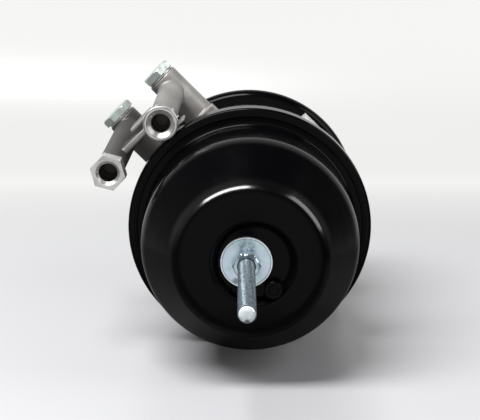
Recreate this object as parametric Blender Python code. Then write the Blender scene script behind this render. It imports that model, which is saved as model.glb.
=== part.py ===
"""Spring brake cylinder, type 24/24, shown with its power spring held back by the release bolt.

The frame: the origin is the centre of the mounting face, +Y runs along the axis towards the vehicle,
+Z is up, and the power spring's end faces -Y. All lengths are in metres and all angles in degrees.
"""

import math

import bmesh
import bpy
from mathutils import Matrix, Vector

# Clearances between pieces that touch on the real product
GAP = 0.0003
THREAD_GAP = 0.0004

# How far a cutter or a joined body reaches past the face that it meets
PAST = 0.001
FAR_PAST = 0.002

# Rounds: broken edges, turned corners, soft bends and cast corners
EDGE_ROUND = 0.0005
CORNER_ROUND = 0.001
BEND_ROUND = 0.002
CAST_ROUND = 0.003

# Lengths along the axis, from the mounting face towards the spring's end
SERVICE_DEPTH = 0.060
CASE_LENGTH = 0.1095
SPRING_DEPTH = 0.102

# Sheet and rubber
SPRING_SHEET = 0.003
SERVICE_SHEET = 0.003
RUBBER = 0.003

# Spring housing
SPRING_RIM_R = 0.0946
SPRING_RIM_ROUND = 0.0045
SPRING_WALL_R = 0.0811
END_FLAT_R = 0.0530
SHOULDER_SLOPE = 57.4
SHOULDER_INNER_ROUND = 0.012
SHOULDER_OUTER_ROUND = 0.024
CRIMP_LAP = 0.008
WALL_FOOT_ROUND = 0.005
RECESS_EDGE_ROUND = 0.0012
RECESS_FLOOR_ROUND = 0.0015

# Recess in the end face
RECESS_R = 0.031
RECESS_DEPTH = 0.0073
RECESS_SLOPE = 54.0
RECESS_OFFSET = 0.0022
BOLT_HOLE_R = 0.0115
DRAIN_WIDTH = 0.0220
DRAIN_DEPTH = 0.0018
VENT_PLUG_R = 0.0066
VENT_PLUG_DEPTH = 0.0052
VENT_RADIUS = 0.0242
VENT_ANGLE = -54.0
VENT_BOSS_R = 0.0041
VENT_BOSS_SLOPE = 0.0007
VENT_BOSS_HEIGHT = 0.0006

# Release bolt, nut and washer
BOLT_R = 0.006
BOLT_OFFSET = -0.0029
BOLT_OUT = 0.1137
BOLT_CHAMFER = 0.0012
NUT_FLATS = 0.018
NUT_HEIGHT = 0.0100
NUT_CHAMFER = 0.0016
NUT_CHAMFER_HEIGHT = 0.0010
WASHER_R = 0.0185
WASHER_THICK = 0.003
HEAD_LENGTH = 0.022
HEAD_WIDTH = 0.0112
HEAD_HEIGHT = 0.009

# Spring plate and its bolt socket
SPRING_PLATE_R = 0.0665
SPRING_PLATE_THICK = 0.005
SPRING_PLATE_CONE = 0.002
SPRING_LENGTH = 0.0700
SOCKET_R = 0.0190
SOCKET_WALL = 0.0042
SOCKET_LENGTH = 0.0320
SOCKET_END = 0.0045
SOCKET_SLOT_EXTRA = 0.006
SOCKET_SLOT_PLAY = 0.0015

# Power spring
POWER_WIRE_R = 0.0063
POWER_SMALL_R = 0.0410
POWER_LARGE_R = 0.0590
POWER_TURNS = 4.38

# Diaphragms
SPRING_CUP_PLAY = 0.0015
SPRING_CUP_DEPTH = 0.012
SPRING_CUP_ROUND = 0.004
SPRING_CUP_BEND = 0.006
SERVICE_CUP_PLAY = 0.004
SERVICE_CUP_DEPTH = 0.006

# Flange case
CASE_FLANGE = 0.006
CASE_BOWL_R = 0.078
CASE_WALL = 0.0035
CASE_WEB = 0.030
WEB_FLOOR_R = 0.058
SERVICE_BOWL_R = 0.0745
SERVICE_BOWL_DEPTH = 0.0255
SERVICE_FLOOR_R = 0.066
SERVICE_FLANGE_R = 0.088
SERVICE_FLANGE = 0.004
CASE_WAIST_R = 0.0765
CASE_NECK = 0.004
CASE_SHOULDER = 0.016
CASE_SHOULDER_ROUND = 0.006
CASE_WAIST_END = 0.008
SERVICE_BOWL_TAPER = 0.007
CASE_BOWL_TAPER = 0.020

# Rod guide in the case's web
ROD_R = 0.011
BUSH_WALL = 0.004
SEAL_WIRE_R = 0.0018
SEAL_LIP = 0.0012
SEAL_SIDES = 6
ROD_RUN = 0.0003

# Transfer plate
TRANSFER_PLATE_R = 0.034
TRANSFER_PLATE_THICK = 0.006
TRANSFER_WIRE_R = 0.0017
TRANSFER_SMALL_R = 0.0175
TRANSFER_LARGE_R = 0.0300
TRANSFER_TURNS = 5.0
ROD_END_RISE = 0.0027

# Manifold: distances across (E) and along (T) the tubes, which stand at TUBE_ANGLE
TUBE_ANGLE = 135.0
TUBE_R = 0.0128
TUBE_REACH = 0.1268
TUBE_SETBACK = 0.0425
TUBE_A_E = 0.0258
TUBE_B_E = -0.0208
ARM_R = 0.0104
ARM_A_DROP = 0.0130
ARM_B_DROP = 0.0103
ARM_INTO_PORT = 0.004
PORT_A_E = 0.0109
PORT_A_T = 0.1069
PORT_A_SETBACK = 0.1195
PORT_B_E = -0.0399
PORT_B_T = 0.1106
PORT_B_SETBACK = 0.1415
PORT_FLATS = 0.024
PORT_HEX_LENGTH = 0.013
PORT_ROLL = 15.0
PORT_A_COLLAR_R = 0.0134
PORT_A_COLLAR = 0.004
PORT_BORE_R = 0.0072
PORT_BORE_DEPTH = 0.017
PORT_A_MOUTH_R = 0.0104
PORT_A_MOUTH_DEPTH = 0.0036
PORT_B_MOUTH_R = 0.0088
PORT_B_MOUTH_DEPTH = 0.0018
PASSAGE_R = 0.0045
TUBE_BORE_R = 0.0055
TUBE_BORE_END = 0.062
PLUG_FLATS = 0.024
PLUG_HEIGHT = 0.0062
PLUG_SHANK_R = 0.0080
PLUG_SHANK = 0.012
PLUG_SEAL_R = 0.0118
PLUG_SEAL_THICK = 0.0012
PLUG_CHAMFER = 0.0012
PLUG_ROLLS = {"a": 42.0, "b": 11.0}
TUBE_ROOT_T = 0.047
BLOCK_ROOT_T = 0.062
BLOCK_T = 0.0840
BLOCK_E_LOW = -0.0330
BLOCK_E_HIGH = 0.0410
BLOCK_DEPTH = 0.008
PAD_ROOT_T = 0.0738
PAD_T = 0.0855
PAD_HALF_WIDTH = 0.0185
PAD_DEPTH = 0.047
RIB_FRONT = 0.007
RIB_DEPTH = 0.020
UPPER_RIB_RISE = (0.0095, 0.0129)
UPPER_RIB_REACH = 0.0215
MIDDLE_RIB_RISE = (0.0014, 0.0064)
MIDDLE_RIB_PAST_TUBE = 0.0067
LOWER_RIB_RISE = (-0.0118, -0.0097)
LOWER_RIB_SHORT_OF_TUBE = 0.0008
BLOCK_PROUD = 0.002
INLET_A_SETBACK = 0.016
INLET_B_SETBACK = 0.008
INLET_R = 0.0040

# Clamp ring between case and service housing
RING_R = 0.0913
RING_SHEET = 0.0027
RING_LIP_R = 0.0805
RING_HALF_WIDTH = 0.0060
RING_LIP_REACH = 0.0020
RING_ROUND = 0.0095
RING_LIP_ROUND = 0.0008
RING_LIP_THICK = 0.00189
RING_SEAT_RELIEF = 0.0002
RING_JOINT_ANGLE = -50.0
RING_SLOT = 0.006
EAR_REACH = 0.0215
EAR_THICK = 0.006
EAR_WIDTH = 0.013
EAR_HOLE_RISE = 0.01204
CLAMP_BOLT_R = 0.004
CLAMP_BOLT_HEAD = 0.0055
CLAMP_FLATS = 0.013
CLAMP_NUT_HEIGHT = 0.0065
CLAMP_BOLT_END = 0.004

# Service side
SERVICE_WALL_R = 0.0795
SERVICE_FACE_R = 0.0735
SERVICE_FACE_ROUND = 0.006
SERVICE_TAPER = 0.030
SERVICE_TAPER_ROUND = 0.008
SERVICE_LIP_RISE = 0.003
SERVICE_OPENING_R = 0.0270
PUSH_PLATE_R = 0.055
PUSH_PLATE_THICK = 0.004
PUSH_PLATE_RIM = 0.006
PUSH_PLATE_FLARE = 0.003
PUSH_ROD_R = 0.010
PUSH_ROD_OUT = 0.016
PUSH_NOSE_R = 0.0085
RETURN_WIRE_R = 0.0019
RETURN_LARGE_R = 0.0500
RETURN_SMALL_R = 0.0365
RETURN_TURNS = 4.5
BOOT_WALL = 0.0020
BOOT_FOLD = 0.0100
BOOT_GROOVE = 0.0012
BOOT_GROOVE_Y = 0.004
BOOT_BEAD = 0.0022
BOOT_FOLD_RISE = 0.0044
BOOT_SKIRT = 0.0048
BOOT_COLLAR = 0.0064
BOOT_LIP = 0.0012

# Mounting studs
STUD_SPACING = 0.12065
STUD_R = 0.008
STUD_OUT = 0.036
STUD_HEAD_R = 0.0108
STUD_HEAD = 0.0045
STUD_CHAMFER = 0.0015
DRAIN_PLUG_R = 0.0055
DRAIN_PLUG_PLACE_R = 0.05425
DRAIN_PLUG_HEAD_R = 0.0080
DRAIN_PLUG_HEAD = 0.0022

# Facets
ROUND_STEPS = 48
INNER_STEPS = 24
SMALL_STEPS = 16
ARC_STEP = 34.0
CHAMFER_BELOW = 0.0031

# Planes on the axis
SERVICE_PLANE = -SERVICE_DEPTH
SPRING_PLANE = SERVICE_PLANE - CASE_LENGTH
END_FACE = SPRING_PLANE - SPRING_DEPTH
RECESS_FLOOR = END_FACE + RECESS_DEPTH
SPRING_SEAT = END_FACE + SPRING_SHEET + GAP
PLATE_FRONT = SPRING_SEAT + SPRING_LENGTH + GAP
PLATE_BACK = PLATE_FRONT + SPRING_PLATE_THICK
SPRING_RUBBER_FRONT = PLATE_BACK + GAP
TRANSFER_FRONT = SPRING_RUBBER_FRONT + RUBBER + GAP
TRANSFER_BACK = TRANSFER_FRONT + TRANSFER_PLATE_THICK
WEB_BACK = SERVICE_PLANE - SERVICE_BOWL_DEPTH
WEB_FRONT = WEB_BACK - CASE_WEB
SERVICE_RUBBER_FRONT = WEB_BACK + ROD_END_RISE
SERVICE_RUBBER_BACK = SERVICE_RUBBER_FRONT + RUBBER
TRANSFER_ROD_END = SERVICE_RUBBER_FRONT - GAP
PUSH_FRONT = SERVICE_RUBBER_BACK + GAP
PUSH_BACK = PUSH_FRONT + PUSH_PLATE_THICK
TUBE_Y = SERVICE_PLANE - TUBE_SETBACK
HOUSING_FLOOR = -SERVICE_SHEET

TUBE_AWAY = Vector((math.cos(math.radians(TUBE_ANGLE)), 0, math.sin(math.radians(TUBE_ANGLE))))
TUBE_ACROSS = Vector((TUBE_AWAY.z, 0, -TUBE_AWAY.x))
AXIS = Vector((0, 1, 0))


def start_clean():
    for obj in list(bpy.data.objects):
        bpy.data.objects.remove(obj, do_unlink=True)


def paint(name, color, roughness, metallic):
    """A plain finish: colour, roughness and metallic value."""
    finish = bpy.data.materials.new(name)
    finish.use_nodes = True
    shader = finish.node_tree.nodes["Principled BSDF"]
    shader.inputs["Base Color"].default_value = (*color, 1.0)
    shader.inputs["Roughness"].default_value = roughness
    shader.inputs["Metallic"].default_value = metallic
    return finish


def rounded(corners, step=ARC_STEP):
    """Turns a closed outline of (radius, y, corner round) into points, with each round as an arc."""
    points = []
    count = len(corners)
    for index, (r, y, size) in enumerate(corners):
        here = Vector((r, y))
        if size <= 0:
            points.append(here)
            continue
        before = Vector(corners[index - 1][:2]) - here
        after = Vector(corners[(index + 1) % count][:2]) - here
        half = before.angle(after) / 2
        reach = min(size / math.tan(half), 0.49 * before.length, 0.49 * after.length)
        size = reach * math.tan(half)
        centre = here + (before.normalized() + after.normalized()).normalized() * size / math.sin(half)
        first = here + before.normalized() * reach - centre
        last = here + after.normalized() * reach - centre
        turn = first.angle_signed(last)
        steps = 1 if size < CHAMFER_BELOW else max(2, math.ceil(abs(math.degrees(turn)) / step))
        for part in range(steps + 1):
            points.append(centre + Matrix.Rotation(-turn * part / steps, 2) @ first)
    return points


def spun(outline, steps=ROUND_STEPS, sweep=360.0, begin=0.0, centre=(0.0, 0.0)):
    """Spins a closed outline of (radius, y) points about the axis through centre, in x and z."""
    mesh = bmesh.new()
    turn = Matrix.Rotation(math.radians(-begin), 3, "Y")
    loop = [mesh.verts.new(turn @ Vector((point[0], point[1], 0))) for point in outline]
    edges = [mesh.edges.new((loop[i - 1], loop[i])) for i in range(len(loop))]
    whole = sweep >= 360.0
    bmesh.ops.spin(
        mesh, geom=loop + edges, cent=(0, 0, 0), axis=(0, -1, 0), dvec=(0, 0, 0),
        angle=math.radians(sweep), steps=steps, use_merge=whole, use_duplicate=False,
    )
    bmesh.ops.remove_doubles(mesh, verts=mesh.verts, dist=1e-6)
    bmesh.ops.delete(mesh, geom=[edge for edge in mesh.edges if edge.is_wire], context="EDGES")
    if not whole:
        bmesh.ops.holes_fill(mesh, edges=[edge for edge in mesh.edges if edge.is_boundary], sides=0)
    bmesh.ops.recalc_face_normals(mesh, faces=mesh.faces)
    bmesh.ops.translate(mesh, verts=mesh.verts, vec=(centre[0], 0, centre[1]))
    return mesh


def bar(start, end, radius, sides=SMALL_STEPS, end_radius=None, roll=0.0, up=AXIS):
    """A straight rod or prism between two points; roll turns its first corner about its length."""
    start, end = Vector(start), Vector(end)
    along = (end - start).normalized()
    side = up.cross(along)
    if side.length < 1e-6:
        side = Vector((1, 0, 0))
    side = side.normalized()
    other = along.cross(side)
    mesh = bmesh.new()
    rings = []
    for point, size in ((start, radius), (end, radius if end_radius is None else end_radius)):
        ring = []
        for index in range(sides):
            angle = math.radians(roll) + 2 * math.pi * index / sides
            ring.append(mesh.verts.new(point + (side * math.cos(angle) + other * math.sin(angle)) * size))
        rings.append(ring)
    for index in range(sides):
        follow = (index + 1) % sides
        mesh.faces.new((rings[0][index], rings[0][follow], rings[1][follow], rings[1][index]))
    mesh.faces.new(reversed(rings[0]))
    mesh.faces.new(rings[1])
    bmesh.ops.recalc_face_normals(mesh, faces=mesh.faces)
    return mesh


def block(centre, size, across=Vector((1, 0, 0)), along=AXIS):
    """A box of three sizes: along `across`, along `along`, and square to both."""
    across, along = Vector(across).normalized(), Vector(along).normalized()
    third = across.cross(along)
    mesh = bmesh.new()
    bmesh.ops.create_cube(mesh, size=1.0)
    frame = Matrix((across * size[0], along * size[1], third * size[2])).transposed()
    for vert in mesh.verts:
        vert.co = Vector(centre) + frame @ vert.co
    bmesh.ops.recalc_face_normals(mesh, faces=mesh.faces)
    return mesh


def coil(wire_r, first_r, last_r, first_y, last_y, turns, sides=6, steps=14, begin=0.0):
    """A helical wire with flat ends; the coil's radius changes evenly along its length."""
    mesh = bmesh.new()
    count = math.ceil(turns * steps)
    rings = []
    for index in range(count + 1):
        share = index / count
        angle = math.radians(begin) + 2 * math.pi * turns * share
        radius = first_r + (last_r - first_r) * share
        outward = Vector((math.cos(angle), 0, math.sin(angle)))
        centre = outward * radius + AXIS * (first_y + (last_y - first_y) * share)
        ring = []
        for corner in range(sides):
            around = 2 * math.pi * (corner + 0.5) / sides
            spot = centre + (outward * math.cos(around) + AXIS * math.sin(around)) * wire_r
            ring.append(mesh.verts.new(spot))
        rings.append(ring)
    for ring, follow in zip(rings, rings[1:]):
        for corner in range(sides):
            beside = (corner + 1) % sides
            mesh.faces.new((ring[corner], ring[beside], follow[beside], follow[corner]))
    mesh.faces.new(rings[0])
    mesh.faces.new(reversed(rings[-1]))
    bmesh.ops.recalc_face_normals(mesh, faces=mesh.faces)
    return mesh


def place(name, mesh, finish, origin=(0, 0, 0), parent=None, smooth=35.0):
    """Stores a mesh as a named object whose origin lies at the given point."""
    bmesh.ops.translate(mesh, verts=mesh.verts, vec=-Vector(origin))
    data = bpy.data.meshes.new(name)
    mesh.to_mesh(data)
    mesh.free()
    data.materials.append(finish)
    data.shade_smooth()
    data.set_sharp_from_angle(angle=math.radians(smooth))
    obj = bpy.data.objects.new(name, data)
    bpy.context.scene.collection.objects.link(obj)
    if parent is None:
        obj.location = origin
    else:
        obj.parent = parent
        obj.location = Vector(origin) - parent.location
    return obj


def shape_with(target, mesh, operation):
    """Joins a mesh to an object, or cuts it out, by a Boolean with a hidden helper."""
    count = len(target.modifiers) + 1
    helper = place(f"{target.name}_helper_{count}", mesh, target.data.materials[0])
    helper.hide_render = True
    helper.display_type = "WIRE"
    step = target.modifiers.new(f"{operation.lower()}_{count}", "BOOLEAN")
    step.operation = operation
    step.solver = "EXACT"
    step.object = helper


def join(target, *meshes):
    for mesh in meshes:
        shape_with(target, mesh, "UNION")


def cut(target, *meshes):
    for mesh in meshes:
        shape_with(target, mesh, "DIFFERENCE")


def pivot(name, location=(0, 0, 0)):
    """An empty on a joint's axis, which carries the pieces that move together."""
    empty = bpy.data.objects.new(name, None)
    empty.location = location
    empty.empty_display_size = 0.02
    bpy.context.scene.collection.objects.link(empty)
    return empty


def slab(across, away, depth):
    """A box between two values each: across the tubes, along them, and on the axis."""
    centre = manifold_point(sum(across) / 2, sum(away) / 2, sum(depth) / 2)
    size = (across[1] - across[0], depth[1] - depth[0], away[1] - away[0])
    return block(centre, size, across=TUBE_ACROSS)


def hexagon_r(flats):
    return flats / 2 / math.cos(math.radians(30))


def manifold_point(across, along, y):
    """A point given across and along the tubes, at a place on the axis."""
    return TUBE_ACROSS * across + TUBE_AWAY * along + AXIS * y


def spring_housing_outline():
    """Section of the pressed housing, from its bolt hole outwards and back along the inside."""
    slope = math.radians(SHOULDER_SLOPE)
    wall_in = SPRING_WALL_R - SPRING_SHEET
    floor_r = RECESS_R - RECESS_DEPTH / math.tan(math.radians(RECESS_SLOPE))
    shoulder_end = END_FACE + (SPRING_WALL_R - END_FLAT_R) * math.tan(slope)
    sheet_shift = SPRING_SHEET * math.tan(slope / 2)
    front_in = SPRING_PLANE - RUBBER / 2 - GAP
    front_out = front_in - SPRING_SHEET
    lip_in = SPRING_PLANE + RUBBER / 2 + GAP + CASE_FLANGE + GAP
    lip_out = lip_in + SPRING_SHEET
    rim_in = SPRING_RIM_R - SPRING_SHEET
    lap_r = SPRING_RIM_R - CRIMP_LAP
    return rounded([
        (BOLT_HOLE_R, RECESS_FLOOR, 0),
        (floor_r, RECESS_FLOOR, RECESS_FLOOR_ROUND),
        (RECESS_R, END_FACE, RECESS_EDGE_ROUND),
        (END_FLAT_R, END_FACE, SHOULDER_INNER_ROUND),
        (SPRING_WALL_R, shoulder_end, SHOULDER_OUTER_ROUND),
        (SPRING_WALL_R, front_out, WALL_FOOT_ROUND),
        (SPRING_RIM_R, front_out, SPRING_RIM_ROUND),
        (SPRING_RIM_R, lip_out, SPRING_RIM_ROUND * 0.6),
        (lap_r, lip_out, 0),
        (lap_r, lip_in, 0),
        (rim_in, lip_in, 0),
        (rim_in, front_in, 0),
        (wall_in, front_in, BEND_ROUND),
        (wall_in, shoulder_end + sheet_shift, SHOULDER_OUTER_ROUND - SPRING_SHEET),
        (END_FLAT_R - sheet_shift, END_FACE + SPRING_SHEET, SHOULDER_INNER_ROUND - SPRING_SHEET),
        (RECESS_R + SPRING_SHEET / 2, END_FACE + SPRING_SHEET, CORNER_ROUND),
        (floor_r + SPRING_SHEET / 2, RECESS_FLOOR + SPRING_SHEET, CORNER_ROUND),
        (BOLT_HOLE_R, RECESS_FLOOR + SPRING_SHEET, 0),
    ])


def shift_recess(mesh):
    """Moves the recess sideways: it is pressed a little off the housing's axis."""
    inner = RECESS_R + SPRING_SHEET
    for vert in mesh.verts:
        radius = math.hypot(vert.co.x, vert.co.z)
        if BOLT_HOLE_R * 1.05 < radius < inner and vert.co.y < RECESS_FLOOR + 2 * SPRING_SHEET:
            vert.co.x += RECESS_OFFSET


def vent_centre():
    angle = math.radians(VENT_ANGLE)
    return RECESS_OFFSET + VENT_RADIUS * math.cos(angle), VENT_RADIUS * math.sin(angle)


def make_spring_housing(black):
    mesh = spun(spring_housing_outline())
    shift_recess(mesh)
    housing = place("spring_housing", mesh, black)
    vent_x, vent_z = vent_centre()
    floor_r = RECESS_R - RECESS_DEPTH / math.tan(math.radians(RECESS_SLOPE))
    cut(
        housing,
        bar((vent_x, END_FACE - FAR_PAST, vent_z), (vent_x, END_FACE + VENT_PLUG_DEPTH + GAP, vent_z),
            VENT_PLUG_R + GAP),
        block((BOLT_OFFSET, RECESS_FLOOR + DRAIN_DEPTH - SPRING_SHEET, -(WASHER_R + floor_r) / 2 - PAST),
              (DRAIN_WIDTH, 2 * SPRING_SHEET, floor_r - WASHER_R + 2 * FAR_PAST)),
    )
    return housing


def make_vent_plug(black):
    vent_x, vent_z = vent_centre()
    front = END_FACE + GAP
    back = END_FACE + VENT_PLUG_DEPTH
    outline = rounded([
        (0, front + VENT_BOSS_HEIGHT, 0), (VENT_BOSS_R, front + VENT_BOSS_HEIGHT, 0),
        (VENT_BOSS_R + VENT_BOSS_SLOPE, front, 0), (VENT_PLUG_R, front, EDGE_ROUND), (VENT_PLUG_R, back, 0),
        (0, back, 0),
    ])
    place("vent_plug", spun(outline, SMALL_STEPS, centre=(vent_x, vent_z)), black)


def make_release_set(zinc, dark_zinc, piston, nut_pivot):
    """The bolt with its T-shaped head, the nut that turns on it, and the washer in the recess."""
    washer_front = RECESS_FLOOR - GAP - WASHER_THICK
    nut_front = washer_front - GAP - NUT_HEIGHT
    tip = washer_front - BOLT_OUT
    head_front = PLATE_FRONT - SOCKET_LENGTH + SOCKET_END + GAP
    thread_r = BOLT_R + THREAD_GAP
    washer_back = washer_front + WASHER_THICK
    washer = rounded([
        (thread_r, washer_front, 0), (WASHER_R, washer_front, EDGE_ROUND),
        (WASHER_R, washer_back, EDGE_ROUND), (thread_r, washer_back, 0),
    ])
    place("release_washer", spun(washer, INNER_STEPS, centre=(BOLT_OFFSET, 0)), zinc)

    nut_r = hexagon_r(NUT_FLATS)
    nut_origin = Vector((BOLT_OFFSET, washer_front - GAP, 0))
    body = bar((BOLT_OFFSET, nut_front, 0), nut_origin, nut_r, 6, roll=30)
    nut = place("release_nut", body, dark_zinc, nut_origin, nut_pivot)
    cone = rounded([
        (0, nut_front - GAP, 0), (nut_r - NUT_CHAMFER, nut_front - GAP, 0),
        (nut_r + GAP, nut_front + NUT_CHAMFER_HEIGHT, 0),
        (nut_r + GAP, washer_front - GAP - NUT_CHAMFER_HEIGHT, 0),
        (nut_r - NUT_CHAMFER, washer_front, 0), (0, washer_front, 0),
    ])
    shape_with(nut, spun(cone, 36, centre=(BOLT_OFFSET, 0)), "INTERSECT")
    cut(nut, bar((BOLT_OFFSET, nut_front - FAR_PAST, 0), (BOLT_OFFSET, washer_front + FAR_PAST, 0), thread_r))

    shank = rounded([
        (0, tip, 0), (BOLT_R - BOLT_CHAMFER, tip, 0), (BOLT_R, tip + BOLT_CHAMFER, 0),
        (BOLT_R, head_front + HEAD_HEIGHT / 2, 0), (0, head_front + HEAD_HEIGHT / 2, 0),
    ])
    bolt_origin = Vector((BOLT_OFFSET, washer_front, 0))
    bolt = place("release_bolt", spun(shank, SMALL_STEPS, centre=(BOLT_OFFSET, 0)), zinc, bolt_origin, piston)
    join(bolt, block((BOLT_OFFSET, head_front + HEAD_HEIGHT / 2, 0), (HEAD_WIDTH, HEAD_HEIGHT, HEAD_LENGTH)))


def make_spring_piston(steel, piston):
    """The plate that the power spring pushes, with the socket that holds the release bolt's head."""
    hub_r = SOCKET_R + GAP
    plate = rounded([
        (hub_r, PLATE_FRONT, 0), (SPRING_PLATE_R - SPRING_PLATE_CONE, PLATE_FRONT, CORNER_ROUND),
        (SPRING_PLATE_R, PLATE_FRONT + SPRING_PLATE_CONE, CORNER_ROUND),
        (SPRING_PLATE_R, PLATE_BACK, CORNER_ROUND),
        (hub_r, PLATE_BACK, 0),
    ])
    place("spring_plate", spun(plate, INNER_STEPS), steel, parent=piston)
    front = PLATE_FRONT - SOCKET_LENGTH
    inside = SOCKET_R - SOCKET_WALL
    socket = rounded([
        (0, front, 0), (SOCKET_R, front, CORNER_ROUND), (SOCKET_R, PLATE_BACK, 0), (inside, PLATE_BACK, 0),
        (inside, front + SOCKET_END, 0), (0, front + SOCKET_END, 0),
    ])
    holder = place("bolt_socket", spun(socket, INNER_STEPS), steel, parent=piston)
    cut(holder, block((0, front, 0), (HEAD_LENGTH + SOCKET_SLOT_EXTRA, 3 * SOCKET_END,
                                      HEAD_WIDTH + 2 * GAP + SOCKET_SLOT_PLAY)))


def make_power_spring(spring_black):
    """Conical power spring: its small end sits on the housing, its large end on the spring plate."""
    mesh = coil(POWER_WIRE_R, POWER_SMALL_R, POWER_LARGE_R, SPRING_SEAT + POWER_WIRE_R,
                PLATE_FRONT - GAP - POWER_WIRE_R, POWER_TURNS, steps=16)
    place("power_spring", mesh, spring_black)


def make_spring_diaphragm(rubber):
    """Rubber cup between the spring plate and the transfer plate, clamped in the crimped rim."""
    front = SPRING_RUBBER_FRONT
    bend = front + SPRING_CUP_DEPTH
    wall = SPRING_WALL_R - SPRING_SHEET - SPRING_CUP_PLAY
    middle_r = wall - SPRING_CUP_ROUND
    inside = wall - RUBBER
    flange_front = SPRING_PLANE - RUBBER / 2
    flange_back = SPRING_PLANE + RUBBER / 2
    edge = SPRING_RIM_R - SPRING_SHEET - GAP
    outline = rounded([
        (0, front, 0), (middle_r, front, SPRING_CUP_ROUND), (wall, bend, SPRING_CUP_BEND),
        (wall, flange_front, BEND_ROUND), (edge, flange_front, 0), (edge, flange_back, 0),
        (inside, flange_back, BEND_ROUND), (inside, bend + RUBBER, SPRING_CUP_ROUND),
        (middle_r - RUBBER, front + RUBBER, CAST_ROUND), (0, front + RUBBER, 0),
    ])
    place("spring_diaphragm", spun(outline, INNER_STEPS), rubber)


def make_transfer_rod(steel, spring_black, piston):
    """Plate and rod that carry the power spring's force through the case, and their return spring."""
    plate = rounded([
        (ROD_R + GAP, TRANSFER_FRONT, 0), (TRANSFER_PLATE_R, TRANSFER_FRONT, CORNER_ROUND),
        (TRANSFER_PLATE_R, TRANSFER_BACK, CORNER_ROUND), (ROD_R + GAP, TRANSFER_BACK, 0),
    ])
    place("transfer_plate", spun(plate, INNER_STEPS), steel, parent=piston)
    rod = rounded([
        (0, TRANSFER_FRONT, 0), (ROD_R, TRANSFER_FRONT, 0), (ROD_R, TRANSFER_ROD_END, CORNER_ROUND),
        (0, TRANSFER_ROD_END, 0),
    ])
    place("transfer_rod", spun(rod, INNER_STEPS), steel, parent=piston)
    mesh = coil(TRANSFER_WIRE_R, TRANSFER_LARGE_R, TRANSFER_SMALL_R, TRANSFER_BACK + GAP + TRANSFER_WIRE_R,
                WEB_FRONT - GAP - TRANSFER_WIRE_R, TRANSFER_TURNS)
    place("transfer_return_spring", mesh, spring_black)


def case_outline():
    """Section of the cast case: two bowls back to back, with a bored web between them."""
    flange_front = SPRING_PLANE + RUBBER / 2 + GAP
    flange_back = flange_front + CASE_FLANGE
    edge = SPRING_RIM_R - SPRING_SHEET - GAP
    neck_r = SPRING_RIM_R - CRIMP_LAP - GAP
    wall_out = CASE_BOWL_R + CASE_WALL
    service_edge = SERVICE_PLANE - RUBBER / 2 - GAP
    service_front = service_edge - SERVICE_FLANGE
    lip_front = service_front - RING_LIP_REACH
    lip_r = RING_LIP_R - GAP
    bore = guide_bore_r()
    return rounded([
        (edge, flange_front, EDGE_ROUND),
        (edge, flange_back, EDGE_ROUND),
        (neck_r, flange_back, 0),
        (wall_out, flange_back + SPRING_SHEET + CASE_NECK, BEND_ROUND),
        (wall_out, WEB_FRONT - CASE_SHOULDER, CASE_SHOULDER_ROUND),
        (CASE_WAIST_R, WEB_FRONT, CASE_SHOULDER_ROUND),
        (CASE_WAIST_R, lip_front - CASE_WAIST_END, CAST_ROUND),
        (lip_r, lip_front, 0),
        (SERVICE_FLANGE_R, service_front, 0),
        (SERVICE_FLANGE_R, service_edge, EDGE_ROUND),
        (SERVICE_BOWL_R, service_edge, BEND_ROUND),
        (SERVICE_BOWL_R - BEND_ROUND, service_edge - SERVICE_BOWL_TAPER, 0),
        (SERVICE_FLOOR_R, WEB_BACK, CAST_ROUND),
        (bore, WEB_BACK, EDGE_ROUND),
        (bore, WEB_FRONT, EDGE_ROUND),
        (WEB_FLOOR_R, WEB_FRONT, CAST_ROUND),
        (CASE_BOWL_R - BEND_ROUND, WEB_FRONT - CASE_BOWL_TAPER, 0),
        (CASE_BOWL_R, flange_front, 0),
    ])


def guide_bore_r():
    return ROD_R + ROD_RUN + BUSH_WALL + GAP


def arm_ends(tube_e, drop, port_e, port_t, port_y):
    """Where an arm starts, a drop below its tube's end, and where it meets the back of its port."""
    start = manifold_point(tube_e, TUBE_REACH - drop, TUBE_Y)
    return start, manifold_point(port_e, port_t, port_y + PORT_HEX_LENGTH)


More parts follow.
